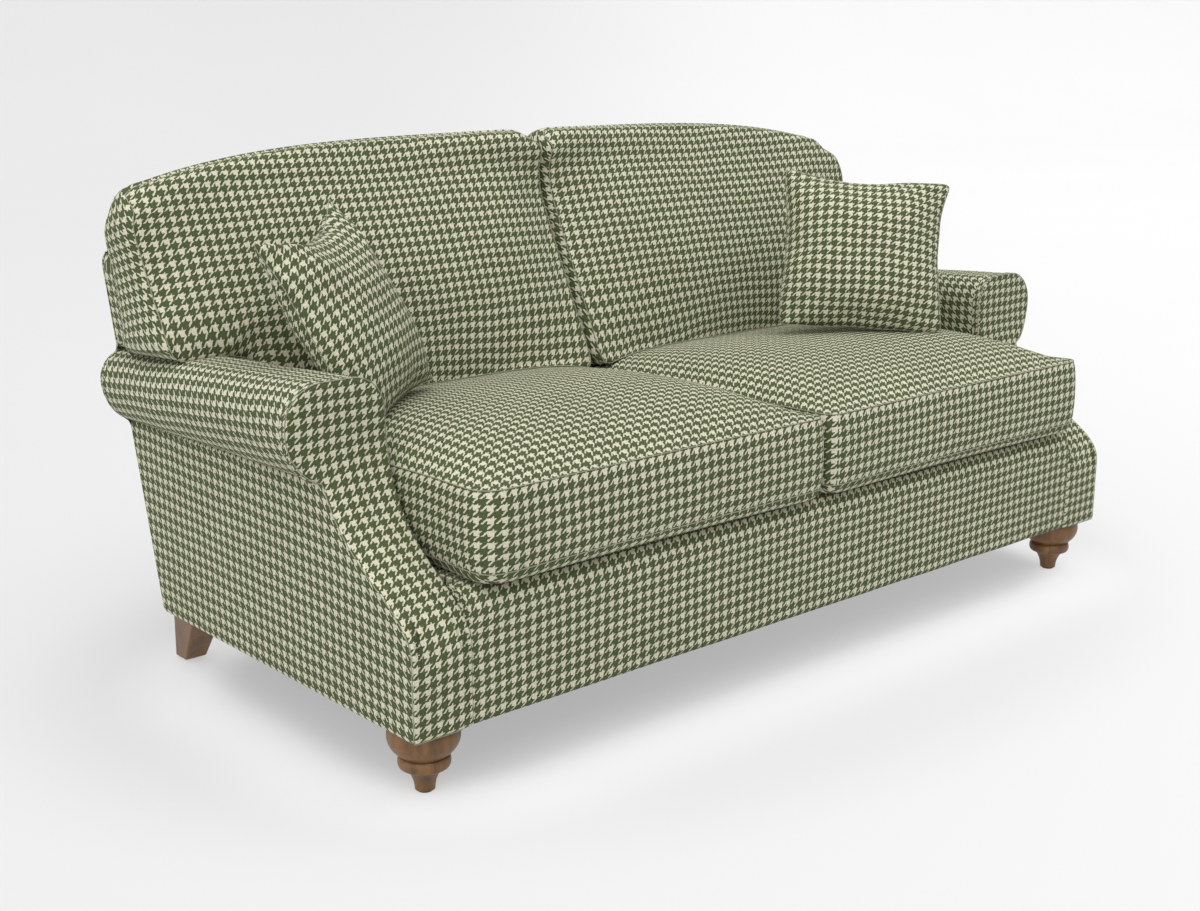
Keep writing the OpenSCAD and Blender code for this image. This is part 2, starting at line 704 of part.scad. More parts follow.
// Outward normal at point i of an anticlockwise outline
function out_at(o, i) = let (n = len(o), a = o[(i + n - 1) % n], b = o[(i + 1) % n],
  t = unit2([b[0] - a[0], b[1] - a[1]])) [t[1], -t[0]];
function ring_pts(o, mid, s, c, off) = [for (i = [0:len(o) - 1]) let (w = out_at(o, i))
  [mid[0] + s * (o[i][0] - mid[0]) + off * o[i][3] * w[0],
   mid[1] + s * (o[i][1] - mid[1]) + off * o[i][3] * w[1] - s * c * o[i][2], c]];
function cushion_pts(o, mid, t, h1, h2, p, s1, s2) = cat([
  [[mid[0], mid[1], t / 2 + h1]],
  cat([for (s = s1) ring_pts(o, mid, s, t / 2 + crown(s, h1, p), 0)]),
  cat([for (a = [45, 90, 135]) ring_pts(o, mid, 1, t / 2 * cos(a), sin(a))]),
  cat([for (s = reverse(s2)) ring_pts(o, mid, s, -t / 2 - flat_to(s, h2, s2[0]), 0)]),
  [[mid[0], mid[1], -t / 2 - h2]]]);
// Triangles between the rings; flip turns them when the frame is left-handed
function cushion_faces(n, rings, flip) = let (last = n * rings + 1) [for (f = cat([
  [for (i = [0:n - 1]) [0, 1 + i, 1 + (i + 1) % n]],
  [for (r = [0:rings - 2]) for (i = [0:n - 1]) let (a = 1 + r * n + i, b = 1 + r * n + (i + 1) % n)
    each [[a, a + n, b], [b, a + n, b + n]]],
  [for (i = [0:n - 1]) [last, last - n + (i + 1) % n, last - n + i]]])) flip ? reverse(f) : f];
// Points of a straight seam that draws in between its ends, without its last end
function seam(a, b, n, draw, slope, bulge) = let (t = unit2(b - a), w = [-t[1], t[0]])
  [for (i = [0:n - 1]) let (k = i / n, d = draw * 4 * k * (1 - k))
    [a[0] + (b[0] - a[0]) * k + w[0] * d, a[1] + (b[1] - a[1]) * k + w[1] * d, slope, bulge]];
function bend(c, r, a0, n, slope, bulge) = [for (i = [0:n - 1]) let (a = a0 + 90 * i / n)
  [c[0] + r * cos(a), c[1] + r * sin(a), slope, bulge]];
function to_frame(p, o, ea, eb, n) = [for (q = p) o + q[0] * ea + q[1] * eb + q[2] * n];
module cushion(o, mid, t, h1, h2, p, s1, s2, org, ea, eb, nn) {
  pts = to_frame(cushion_pts(o, mid, t, h1, h2, p, s1, s2), org, ea, eb, nn);
  polyhedron(points = pts, faces = cushion_faces(len(o), len(s1) + 3 + len(s2), true));
}

// Seat cushion: across is X, up is the platform's own line to the back
tilt_b = [0, cos(seat_tilt), -sin(seat_tilt)];
tilt_n = [0, sin(seat_tilt), cos(seat_tilt)];
seat_org = [0, border_back, rail_h] + tilt_n * (seat_border / 2 + seat_under + rest_gap);
seat_y0 = -(seat_over + border_back) / cos(seat_tilt) - seat_border / 2 * tan(seat_tilt);
seat_y1 = (seat_meets(0, back_face) - border_back) / cos(seat_tilt) - seat_bulge - 2;
seat_x0 = seat_gap / 2;
seat_x1 = arm_in - side_gap - seat_bulge;
seat_mid = [(seat_x0 + seat_x1) / 2, seat_peak - border_back];
seat_r = 14;
seat_line = let (x0 = seat_x0, x1 = seat_x1, y0 = seat_y0, y1 = seat_y1, r = seat_r, q = seat_corner_r,
  d = seat_draw, b = seat_bulge, e = seat_ear, w = seat_ear_d) cat([
  seam([x0 + r, y0], [x1 + e - q, y0], 9, d, 0, b), bend([x1 + e - q, y0 + q], q, -90, 5, 0, b),
  seam([x1 + e, y0 + q], [x1, y0 + w + e], 2, 0, 0, b),
  seam([x1, y0 + w + e], [x1, y1 - r], 7, d, 0, b), bend([x1 - r, y1 - r], r, 0, 3, 0, b),
  seam([x1 - r, y1], [x0 + r, y1], 8, d, 0, b), bend([x0 + r, y1 - r], r, 90, 3, 0, b),
  seam([x0, y1 - r], [x0, y0 + r], 8, d, 0, b), bend([x0 + r, y0 + r], r, 180, 3, 0, b)]);
seat_rings = [0.3, 0.52, 0.68, 0.82, 0.93, 1];
belly_rings = [0.8, 0.92, 1];
seat_power = 2.8;
// The belly is flat within its first ring, so that it lies on the platform
module seat_cushion() {
  cushion(seat_line, seat_mid, seat_border, seat_crown, seat_under, seat_power, seat_rings, belly_rings,
    seat_org, [1, 0, 0], tilt_b, tilt_n);
}
seat_pts = to_frame(cushion_pts(seat_line, seat_mid, seat_border, seat_crown, seat_under, seat_power,
  seat_rings, belly_rings), seat_org, [1, 0, 0], tilt_b, tilt_n);
// Middle of the whole sofa along Y, from the front of the seat to the top of the back
mid_y = (min([for (q = seat_pts) q[1]]) + back_y(back_h, 0)) / 2;
module seat_cushion_left() {
  color("palegreen") place() left_of() seat_cushion();
}
module seat_cushion_right() {
  color("palegreen") place() seat_cushion();
}
// Height of a seat cushion's crown over a place, from the same rings as its solid
seat_heights = cat([[[0, crown(0, seat_crown, seat_power)]],
  [for (s = seat_rings) [s, crown(s, seat_crown, seat_power)]]]);
function seat_s(x, b) = max((x - seat_mid[0]) / (x > seat_mid[0] ? seat_x1 - seat_mid[0] : seat_x0 - seat_mid[0]),
  (b - seat_mid[1]) / (b > seat_mid[1] ? seat_y1 - seat_mid[1] : seat_y0 - seat_mid[1]));
function seat_c(x, b) = seat_border / 2 + lookup(clamp(seat_s(x, b), 0, 1), seat_heights);
function seat_top(x, y) = let (b = (y - seat_org[1]) / cos(seat_tilt))
  seat_org[2] - b * sin(seat_tilt) + seat_c(abs(x), b) / cos(seat_tilt);

// Back cushion: across is X, up follows the back's lean
rake_b = [0, sin(back_rake), cos(back_rake)];
rake_n = [0, -cos(back_rake), sin(back_rake)];
base_z = rail_h + seat_border;
back_org = [0, back_y(base_z, back_face), base_z] + rake_n * (back_border / 2 + back_rear + rest_gap);
// Height along the lean of a level line that the middle of the border reaches
function lean_up(z) = (z - back_org[2]) / cos(back_rake);
// The lower edge sits on the seat cushion's crown, at its front seam or just behind it
low_n = 16;
function low_fit(c, b) = lean_up(seat_top(seat_mid[0], back_org[1] + rake_b[1] * b + rake_n[1] * c)
  + rest_gap - rake_n[2] * c);
back_low = 1.8 * rest_gap + max([for (i = [0:low_n]) let (c = back_border / 2 - back_border * i / low_n)
  low_fit(c, low_fit(c, 0))]);
back_x0 = back_gap / 2;
back_x1 = arm_in - side_gap - back_bulge;
back_x2 = half_w + ear_out;
// The ear lies on the arm, which falls towards the back
arm_slope = arm_fall / (roll_end - neck_set);
ear_slope = tan(back_rake - atan(arm_slope));
ear_ease = 4;
ear_up = cos(back_rake) + arm_slope * sin(back_rake);
ear_low = (top_z(back_org[1]) + rest_gap - back_org[2]) / ear_up;
function top_at(x) = lean_up(cushion_top) - top_bulge - (top_fall / cos(back_rake)) * pow(x / half_w, 4);
back_mid = [(back_x0 + back_x1) / 2 + 20, (back_low + top_at(back_x0)) / 2 + 40];
back_r = 36;
top_n = 10;
back_line = let (x0 = back_x0, x1 = back_x1, x2 = back_x2, y0 = back_low, ye = ear_low, r = back_r, q = ear_r,
  s = ear_slope, d = back_draw, b = back_bulge, yt = top_at(x2 - q)) cat([
  seam([x0 + 10, y0], [x1 - 10, y0], 8, 0, 0, 0), bend([x1 - 10, y0 + 10], 10, -90, 2, 0, 0),
  seam([x1, y0 + 10], [x1, ye - roll_in_r / ear_up], 3, 0, 0, b),
  [for (i = [0:4]) let (a = 180 - 90 * i / 5, m = arm_in + roll_in_r)
    [m + (m - x1) * cos(a), ye - roll_in_r / ear_up * (1 - sin(a)) + ear_ease * sin(2 * a - 180),
      s * min(1, i / 2), b * pow(cos(a), 2)]],
  seam([arm_in + roll_in_r, ye], [x2 - 20, ye], 3, 0, s, 0), bend([x2 - 20, ye + 20], 20, -90, 3, s, 0),
  seam([x2, ye + 20], [x2, yt - q], 4, d, 0, b),
  [for (i = [0:5]) let (a = 90 * i / 6) [x2 - q + q * cos(a), yt - q + q * sin(a), 0, b + (top_bulge - b) * i / 6]],
  [for (i = [0:top_n]) let (x = x2 - q + (x0 + r - x2 + q) * i / top_n) [x, top_at(x), 0, top_bulge]],
  [for (i = [1:4]) let (a = 90 + 90 * i / 4)
    [x0 + r + r * cos(a), top_at(x0 + r) - r + r * sin(a), 0, top_bulge + (b - top_bulge) * i / 4]],
  seam([x0, top_at(x0 + r) - r - 12], [x0, y0 + 10], 7, 0, 0, b), bend([x0 + 10, y0 + 10], 10, 180, 2, 0, 0)]);
back_rings = [0.32, 0.56, 0.75, 0.9, 1];
rear_rings = [0.7, 0.88, 1];
module back_cushion() {
  cushion(back_line, back_mid, back_border, back_crown, back_rear, 2.6, back_rings, rear_rings,
    back_org, [1, 0, 0], rake_b, rake_n);
}
module back_cushion_left() {
  color("lightgreen") place() left_of() back_cushion();
}
module back_cushion_right() {
  color("lightgreen") place() back_cushion();
}

// Scatter cushion: two crowned faces on one pointed, drawn-in seam
scatter_n = 9;
scatter_h = scatter_l / 2;
scatter_line = cat([for (k = [0:3]) let (a = -90 + 90 * k, c = cos(a), s = sin(a))
  [for (i = [0:scatter_n - 1]) let (t = i / scatter_n, u = -scatter_h + scatter_l * t,
    v = scatter_h - scatter_draw * 4 * t * (1 - t)) [c * v - s * u, s * v + c * u, pow(abs(2 * t - 1), 2), 0]]]);
scatter_rings = [0.2, 0.4, 0.6, 0.78, 0.91, 1];
function scatter_c(s, k) = scatter_t / 2 * pow(1 - pow(s, 2.4), 0.8) * (1 - 0.35 * s * s * k);
function scatter_ring(s, side) = [for (o = scatter_line)
  [o[0] * s, o[1] * s, side * (scatter_c(s, o[2]) + (s == 1 ? 0 : 0.5))]];
function scatter_pts() = cat([[[0, 0, scatter_t / 2]],
  cat([for (s = scatter_rings) scatter_ring(s, 1)]),
  cat([for (i = [len(scatter_rings) - 2:-1:0]) scatter_ring(scatter_rings[i], -1)]),
  [[0, 0, -scatter_t / 2]]]);
// Turn about the upright, lean back and roll in its own plane; then stand it on the seat cushion
function scatter_axes(turn, lean, roll) = let (
  n = [sin(turn) * cos(lean), -cos(turn) * cos(lean), sin(lean)],
  e = [cos(turn), sin(turn), 0], u = cross(n, e), c = cos(roll), s = sin(roll))
  [c * e + s * u, c * u - s * e, n];
function scatter_org(mid, ax) = let (tips = [for (k = [-1, 1]) mid + k * scatter_h * ax[0] - scatter_h * ax[1]])
  mid + [0, 0, max([for (t = tips) seat_top(t[0], t[1]) - t[2]]) + 1.6 * rest_gap];
module scatter(mid, turn, lean, roll) {
  ax = scatter_axes(turn, lean, roll);
  pts = to_frame(scatter_pts(), scatter_org(mid, ax), ax[0], ax[1], ax[2]);
  polyhedron(points = pts, faces = cushion_faces(len(scatter_line), 2 * len(scatter_rings) - 1, true));
}
// The left one turns towards the middle and the right one turns towards the left
module scatter_left() {
  color("yellowgreen") place() scatter([left_in - arm_in, body_d - left_fore, 0], 34.7, 29.2, 3.9);
}
module scatter_right() {
  color("yellowgreen") place() scatter([arm_in - right_in, body_d - right_fore, 0], -40.8, 24.4, -3.9);
}

front_rail();
back_rail();
side_rail_left();
side_rail_right();
centre_rail();
corner_blocks();
scroll_board_left();
scroll_board_right();
arm_slats_left();
arm_slats_right();
back_post_left();
back_post_right();
top_rail();
spring_rail();
centre_post();
seat_springs();
spring_clips();
back_webbing();
seat_platform();
front_border();
arm_facing_left();
arm_facing_right();
arm_cover_left();
arm_cover_right();
outside_arm_left();
outside_arm_right();
inside_back();
outside_back();
dust_cover();
foot_front_left();
foot_front_right();
foot_rear_left();
foot_rear_right();
foot_studs();
foot_nuts();
foot_glides();
seat_cushion_left();
seat_cushion_right();
back_cushion_left();
back_cushion_right();
scatter_left();
scatter_right();
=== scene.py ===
import bpy, json, math
import numpy as np
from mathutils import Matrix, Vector, noise


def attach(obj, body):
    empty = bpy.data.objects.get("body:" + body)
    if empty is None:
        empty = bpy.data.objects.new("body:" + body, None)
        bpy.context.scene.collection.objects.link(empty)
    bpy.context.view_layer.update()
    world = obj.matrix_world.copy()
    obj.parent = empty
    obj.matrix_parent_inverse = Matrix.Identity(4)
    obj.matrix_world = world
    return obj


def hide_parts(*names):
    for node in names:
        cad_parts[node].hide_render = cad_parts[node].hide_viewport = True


NOISE_SEED = 1795716445
noise.seed_set(NOISE_SEED)  # without it, noise_vector starts from the clock and every run differs

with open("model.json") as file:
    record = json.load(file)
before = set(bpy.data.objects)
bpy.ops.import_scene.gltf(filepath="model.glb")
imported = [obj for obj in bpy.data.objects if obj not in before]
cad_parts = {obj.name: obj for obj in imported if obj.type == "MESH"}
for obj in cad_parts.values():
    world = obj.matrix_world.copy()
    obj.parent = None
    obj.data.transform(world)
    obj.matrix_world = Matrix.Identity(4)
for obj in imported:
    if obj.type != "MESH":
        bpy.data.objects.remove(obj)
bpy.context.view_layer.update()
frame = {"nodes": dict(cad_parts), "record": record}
NODES = frame["nodes"]
scene = bpy.context.scene

# ---------------------------------------------------------------- sizes in mm, as in the CAD source
HALF, ARM_IN, CORE, FOOT = 900, 772, 886, 113  # half the width; the arm's inner face and axis; the feet's height
DEPTH, RAKE, TILT = 795, math.radians(14), math.radians(1.5)  # the body's depth below; the back's and seat's lean
ARM_H, OVER, DROP, IN_R = 626, 54, 156, 58  # the roll's top, overhang, depth outside and inner radius
FALL, TAPER, UNDER, NECK = 44, 14, 12, 238  # what it loses to the back in height, radius, underside; where it begins
ROLL_R = HALF - CORE + OVER
HEAD_Z, LOW_Z = ARM_H - IN_R, ARM_H - DROP  # where the roll curves in over the seat, and where it ends outside
SEAM_X = 787  # where the front border meets the arms' facings
SEAT_H, SEAT_T = 328, 65  # the platform's height in front; half a seat cushion's border
BACK_PAD, BACK_T = 75, 66  # depth of the fixed back; half a back cushion's border
YM = 469.06  # the CAD source's y of the frame's origin
MM = 0.001


def back_y(z, d=0.0):
    """How far back the leaning outside back is at a height, or a plane d in front of it."""
    return DEPTH + (z - FOOT) * math.tan(RAKE) - d


ROLL_END = back_y(ARM_H - ROLL_R)


def along(y):
    """0 where the arm's roll begins, 1 where it meets the outside back."""
    return (y - NECK) / (ROLL_END - NECK)


def top_z(y):
    """The arm's height, which falls towards the back."""
    return ARM_H - FALL * along(y)


def bez(a, b, c, d, t):
    """A cubic curve."""
    return a * (1 - t) ** 3 + 3 * b * t * (1 - t) ** 2 + 3 * c * t * t * (1 - t) + d * t ** 3


# the arm's front in side view: a table of y, z and the length along it
_t = np.linspace(0, 1, 120)
S_TAB = np.c_[np.r_[0, bez(0, 0, NECK, NECK, _t), NECK], np.r_[FOOT, bez(245, 340, 350, 545, _t), 700]]
S_LEN = np.r_[0, np.cumsum(np.hypot(*np.diff(S_TAB, axis=0).T))]


def s_y(z):
    """The arm's front at a height."""
    return np.interp(z, S_TAB[:, 1], S_TAB[:, 0])


def s_len(z):
    """The length along the arm's front up to a height."""
    return np.interp(z, S_TAB[:, 1], S_LEN)


def smooth(a, b, x):
    """0 at a and 1 at b, with soft ends; b may be less than a."""
    t = np.clip((np.asarray(x, float) - a) / (b - a), 0, 1)
    return t * t * (3 - 2 * t)


# ---------------------------------------------------------------- meshes
def resample(p, step, closed=True):
    """Points at equal steps along a polyline."""
    p = np.asarray(p, float)
    if closed:
        p = np.r_[p, p[:1]]
    d = np.r_[0, np.cumsum(np.hypot(*np.diff(p, axis=0).T))]
    n = max(int(round(d[-1] / step)), 8)
    s = np.linspace(0, d[-1], n + 1)
    q = np.c_[np.interp(s, d, p[:, 0]), np.interp(s, d, p[:, 1])]
    return q[:-1] if closed else q


def soften(p, times, closed=True):
    """Rounds the corners of an evenly sampled line."""
    for _ in range(times):
        if closed:
            p = 0.25 * np.roll(p, 1, 0) + 0.5 * p + 0.25 * np.roll(p, -1, 0)
        else:
            p[1:-1] = 0.25 * p[:-2] + 0.5 * p[1:-1] + 0.25 * p[2:]
    return p


def out_of(p):
    """Outward normals of an anticlockwise closed outline."""
    t = np.roll(p, -1, 0) - np.roll(p, 1, 0)
    t /= np.maximum(np.hypot(*t.T)[:, None], 1e-9)
    return np.c_[t[:, 1], -t[:, 0]]


def arc_len(p, closed=True):
    """The length run at each point of a line."""
    q = np.r_[p, p[:1]] if closed else p
    return np.r_[0, np.cumsum(np.sqrt((np.diff(q, axis=0) ** 2).sum(1)))]


class Shape:
    """Gathers faces with their own UVs, in mm, and makes one object of them in metres."""

    def __init__(self):
        self.v, self.f, self.uv, self.m = [], [], [], []

    def points(self, p):
        n = len(self.v)
        self.v.extend(map(tuple, np.asarray(p, float).reshape(-1, 3)))
        return n

    def face(self, idx, uvs, mat=0):
        self.f.append(tuple(idx))
        self.uv.extend(map(tuple, uvs))
        self.m.append(mat)

    def strip(self, ids, uv, closed=True, mat=0, flip=False):
        """Quads between rows of point numbers; uv has one more column where the rows close."""
        rows, cols = ids.shape
        for k in range(rows - 1):
            for j in range(cols if closed else cols - 1):
                i = (j + 1) % cols
                a = [ids[k, j], ids[k + 1, j], ids[k + 1, i], ids[k, i]]
                u = [uv[k][j], uv[k + 1][j], uv[k + 1][j + 1], uv[k][j + 1]]
                if flip:
                    a, u = a[::-1], u[::-1]
                self.face(a, u, mat)

    def fan(self, mid, muv, ring, uv, flip=False):
        """Triangles from a middle point to a closed ring."""
        n = len(ring)
        for j in range(n):
            i = (j + 1) % n
            a, u = [mid, ring[j], ring[i]], [muv, uv[j], uv[i]]
            if flip:
                a, u = a[::-1], u[::-1]
            self.face(a, u)

    def grid(self, p, uv, closed=False, flip=False):
        """A strip of quads with points of its own."""
        p = np.asarray(p, float)
        n = self.points(p)
        ids = n + np.arange(p.shape[0] * p.shape[1]).reshape(p.shape[:2])
        self.strip(ids, uv, closed, flip=flip)
        return ids

    def tube(self, path, r, closed=True, mat=1):
        """A thin welt of yarn along a line."""
        sides = 7
        p = np.asarray(path, float)
        t = (np.roll(p, -1, 0) - np.roll(p, 1, 0)) if closed else np.gradient(p, axis=0)
        t /= np.maximum(np.sqrt((t ** 2).sum(1))[:, None], 1e-9)
        up = np.array([0.31, 0.22, 0.93])
        a = np.cross(t, up)
        a /= np.maximum(np.sqrt((a ** 2).sum(1))[:, None], 1e-9)
        b = np.cross(t, a)
        s = arc_len(p, closed)
        rows, uv = [], []
        for k in range(sides):
            w = 2 * math.pi * k / sides
            rows.append(p + r * (math.cos(w) * a + math.sin(w) * b))
            uv.append(np.c_[s, np.full(len(s), k * 2 * math.pi * r / sides)])
        rows.append(rows[0])
        uv.append(np.c_[s, np.full(len(s), 2 * math.pi * r)])
        n = self.points(np.array(rows[:-1]))
        c = len(p)
        ids = n + np.arange(sides * c).reshape(sides, c)
        ids = np.r_[ids, ids[:1]]
        self.strip(ids, uv, closed, mat)

    def make(self, name, mats):
        me = bpy.data.meshes.new(name)
        v = np.array(self.v) * MM
        v[:, 1] -= YM * MM
        me.from_pydata(v.tolist(), [], self.f)
        lay = me.uv_layers.new(name="UVMap")
        lay.data.foreach_set("uv", (np.array(self.uv) * MM).astype(np.float32).ravel())
        me.polygons.foreach_set("material_index", self.m)
        me.polygons.foreach_set("use_smooth", [True] * len(self.f))
        me.validate()
        for m in mats:
            me.materials.append(m)
        o = bpy.data.objects.new(name, me)
        scene.collection.objects.link(o)
        return o


def wobble(p, amp, size, seed):
    """A smooth random offset for every point."""
    q = np.asarray(p, float).reshape(-1, 3)
    o = np.array([noise.noise_vector(Vector((a / size + seed, b / size, c / size))) for a, b, c in q])
    return (q + amp * o).reshape(np.shape(p))


# ---------------------------------------------------------------- materials
class Nodes:
    """A short way to write a shader's arithmetic."""

    def __init__(self, tree):
        self.t = tree

    def new(self, kind, **k):
        n = self.t.nodes.new(kind)
        for a, v in k.items():
            setattr(n, a, v)
        return n

    def put(self, s, v):
        if isinstance(v, bpy.types.NodeSocket):
            self.t.links.new(v, s)
        elif v is not None:
            s.default_value = v

    def m(self, op, a, b=None, c=None):
        n = self.new("ShaderNodeMath", operation=op)
        for s, v in zip(n.inputs, (a, b, c)):
            self.put(s, v)
        return n.outputs[0]

    def mix(self, f, a, b, mode="MIX"):
        n = self.new("ShaderNodeMix", data_type="RGBA", blend_type=mode)
        self.put(n.inputs[0], f)
        self.put(n.inputs[6], a)
        self.put(n.inputs[7], b)
        return n.outputs[2]

    def xyz(self, v):
        n = self.new("ShaderNodeSeparateXYZ")
        self.put(n.inputs[0], v)
        return n.outputs

    def vec(self, x, y, z=0.0):
        n = self.new("ShaderNodeCombineXYZ")
        for s, v in zip(n.inputs, (x, y, z)):
            self.put(s, v)
        return n.outputs[0]

    def noise(self, v, scale, detail=2.0, rough=0.5, out="Fac"):
        n = self.new("ShaderNodeTexNoise")
        self.put(n.inputs["Vector"], v)
        n.inputs["Scale"].default_value = scale
        n.inputs["Detail"].default_value = detail
        n.inputs["Roughness"].default_value = rough
        return n.outputs[out]

    def ease(self, v, a, b, low, high):
        """low up to v = a and high from v = b, with soft ends."""
        n = self.new("ShaderNodeMapRange", interpolation_type="SMOOTHSTEP")
        for s, x in zip(n.inputs, (v, a, b, low, high)):
            self.put(s, x)
        return n.outputs[0]

    def bump(self, b, height, strength, distance):
        n = self.new("ShaderNodeBump")
        n.inputs["Strength"].default_value = strength
        n.inputs["Distance"].default_value = distance
        self.put(n.inputs["Height"], height)
        self.put(b.inputs["Normal"], n.outputs[0])


def lin(r, g, b):
    """An sRGB colour, 0 to 255, as Blender's linear one."""
    f = [c / 255 for c in (r, g, b)]
    return tuple(c / 12.92 if c <= 0.04045 else ((c + 0.055) / 1.055) ** 2.4 for c in f) + (1.0,)


def material(name, build, **sockets):
    """A Principled material: plain sockets by name, the rest by build(nodes, shader)."""
    mat = bpy.data.materials.new(name)
    mat.use_nodes = True
    t = mat.node_tree
    b = t.nodes["Principled BSDF"]
    for k, v in sockets.items():
        b.inputs[k.replace("_", " ")].default_value = v
    build(Nodes(t), b)
    return mat


CHECK_U, CHECK_V = 0.0203, 0.0193  # one check across and along, in metres
LIGHT_U, LIGHT_V = 0.44, 0.46  # the light yarns' share each way
STRIPE_U, STRIPE_V, STRIPE_W = 0.235, 0.765, 0.185  # where the slanting light stripes lie, and half their width
YARNS = 8.0  # yarns to a check
PLAIN_X, PLAIN_Y = 0.66, -0.33  # the platform is plain between +-PLAIN_X and behind PLAIN_Y


def houndstooth(turn=False, shift=(0.0, 0.0), deck=False):
    """A dog-tooth check by rule.

    It is dark where dark yarns cross, light where light yarns cross, and has slanting stripes elsewhere. turn swaps
    across and along, shift moves it by checks, and deck makes the platform's plain cloth with a border of the check.
    """

    def build(n, b):
        if deck:
            src = n.new("ShaderNodeTexCoord").outputs["Object"]
        else:
            src = n.new("ShaderNodeUVMap", uv_map="UVMap").outputs[0]
        uv = n.xyz(src)
        u, v = (uv[1], uv[0]) if turn else (uv[0], uv[1])
        off = n.xyz(n.noise(src, 14.0, 1.0, out="Color"))
        u = n.m("MULTIPLY_ADD", u, 1 / CHECK_U, n.m("MULTIPLY_ADD", off[0], 0.30, shift[0]))
        v = n.m("MULTIPLY_ADD", v, 1 / CHECK_V, n.m("MULTIPLY_ADD", off[1], 0.30, shift[1]))
        a, c = n.m("MULTIPLY", u, YARNS), n.m("MULTIPLY", v, YARNS)
        ia, ic = n.m("FLOOR", a), n.m("FLOOR", c)
        # each yarn wavers a little, which frays the edges of the figure
        fr = n.xyz(n.noise(n.vec(a, c, 7.0), 0.9, out="Color"))
        fu = n.m("FRACT", n.m("ADD", u, n.m("MULTIPLY", fr[0], 0.15)))
        fv = n.m("FRACT", n.m("ADD", v, n.m("MULTIPLY", fr[1], 0.15)))
        lu, lv = n.m("LESS_THAN", fu, LIGHT_U), n.m("LESS_THAN", fv, LIGHT_V)
        slant = n.m("FRACT", n.m("MULTIPLY_ADD", n.m("SUBTRACT", fv, fu), 2.0, 2.0))
        at = n.m("MULTIPLY_ADD", lv, STRIPE_V - STRIPE_U, STRIPE_U)
        stripe = n.m("LESS_THAN", n.m("ABSOLUTE", n.m("SUBTRACT", slant, at)), STRIPE_W)
        both = n.m("MULTIPLY", lu, lv)
        one = n.m("SUBTRACT", n.m("MAXIMUM", lu, lv), both)
        light = n.m("MAXIMUM", both, n.m("MULTIPLY", one, stripe))
        # the yarn on top: its roundness and its own shade along its length
        over = n.m("GREATER_THAN", n.m("FLOORED_MODULO", n.m("SUBTRACT", ia, ic), 4.0), 1.5)
        fa = n.m("SUBTRACT", n.m("FRACT", a), 0.5)
        fc = n.m("SUBTRACT", n.m("FRACT", c), 0.5)
        ra = n.m("SUBTRACT", 1.0, n.m("MULTIPLY", n.m("MULTIPLY", fa, fa), 3.4))
        rc = n.m("SUBTRACT", 1.0, n.m("MULTIPLY", n.m("MULTIPLY", fc, fc), 3.4))
        height = n.new("ShaderNodeMix", data_type="FLOAT")
        for s, x in zip((0, 2, 3), (over, rc, ra)):
            n.put(height.inputs[s], x)
        lie = n.new("ShaderNodeMix", data_type="VECTOR")
        n.put(lie.inputs[0], over)
        n.put(lie.inputs[4], n.vec(n.m("MULTIPLY", a, 0.35), ic, 1.0))
        n.put(lie.inputs[5], n.vec(ia, n.m("MULTIPLY", c, 0.35), 2.0))
        yarn = n.noise(lie.outputs[1], 1.0, 3.0, 0.6)
        patch = n.noise(n.vec(a, c, 9.0), 0.21, 2.0, 0.5)
        fuzz = n.noise(n.vec(a, c, 3.0), 1.2, 3.0, 0.75)
        tone = n.noise(n.vec(a, c, 5.0), 0.016, 3.0, 0.5)
        green = n.mix(yarn, lin(50, 62, 34), lin(96, 110, 74))
        brown = n.mix(yarn, lin(58, 52, 34), lin(98, 94, 68))
        deep = n.mix(n.m("MULTIPLY_ADD", one, 0.55, n.m("MULTIPLY", patch, 0.3)), green, brown)
        warm = n.mix(yarn, lin(198, 190, 168), lin(224, 216, 196))
        cool = n.mix(yarn, lin(180, 186, 156), lin(208, 216, 186))
        pale = n.mix(n.m("ADD", n.m("MULTIPLY", one, 0.5), n.m("MULTIPLY", patch, 0.6)), warm, cool)
        col = n.mix(light, deep, pale)
        # painted shade: each yarn darkens towards its edges by its roundness; the speckle and tone added to it are
        # the cloth's own random mottle
        groove_shade_and_mottle = n.m("ADD", n.m("MULTIPLY", height.outputs[0], 0.26), n.m("MULTIPLY", fuzz, 0.95))
        groove_shade_and_mottle = n.m("ADD", groove_shade_and_mottle, n.m("MULTIPLY", tone, 0.14))
        groove_shade_and_mottle = n.m("ADD", groove_shade_and_mottle, 0.24)
        col = n.mix(1.0, col, n.vec(groove_shade_and_mottle, groove_shade_and_mottle, groove_shade_and_mottle), "MULTIPLY")
        if deck:
            within = n.m("LESS_THAN", n.m("ABSOLUTE", uv[0]), PLAIN_X)
            inside = n.m("MULTIPLY", within, n.m("GREATER_THAN", uv[1], PLAIN_Y))
            plain = n.mix(n.noise(n.vec(*uv), 55.0, 4.0, 0.7), lin(176, 172, 150), lin(206, 202, 182))
            col = n.mix(inside, col, plain)
        n.put(b.inputs["Base Color"], col)
        n.bump(b, n.m("ADD", height.outputs[0], n.m("MULTIPLY", fuzz, 0.6)), 0.5, 0.0008)
        n.put(b.inputs["Roughness"], n.m("MULTIPLY_ADD", fuzz, 0.2, 0.72))

    return build


CLOTH = dict(Sheen_Weight=0.06, Sheen_Roughness=0.4, Sheen_Tint=(0.92, 0.95, 0.78, 1), Specular_IOR_Level=0.12)
check = material("houndstooth", houndstooth(), **CLOTH)
check_side = material("houndstooth_turned", houndstooth(True, (1.5, 2.5)), **CLOTH)
check_scatter = material("houndstooth_scatter", houndstooth(False, (3.0, 1.0)), **CLOTH)


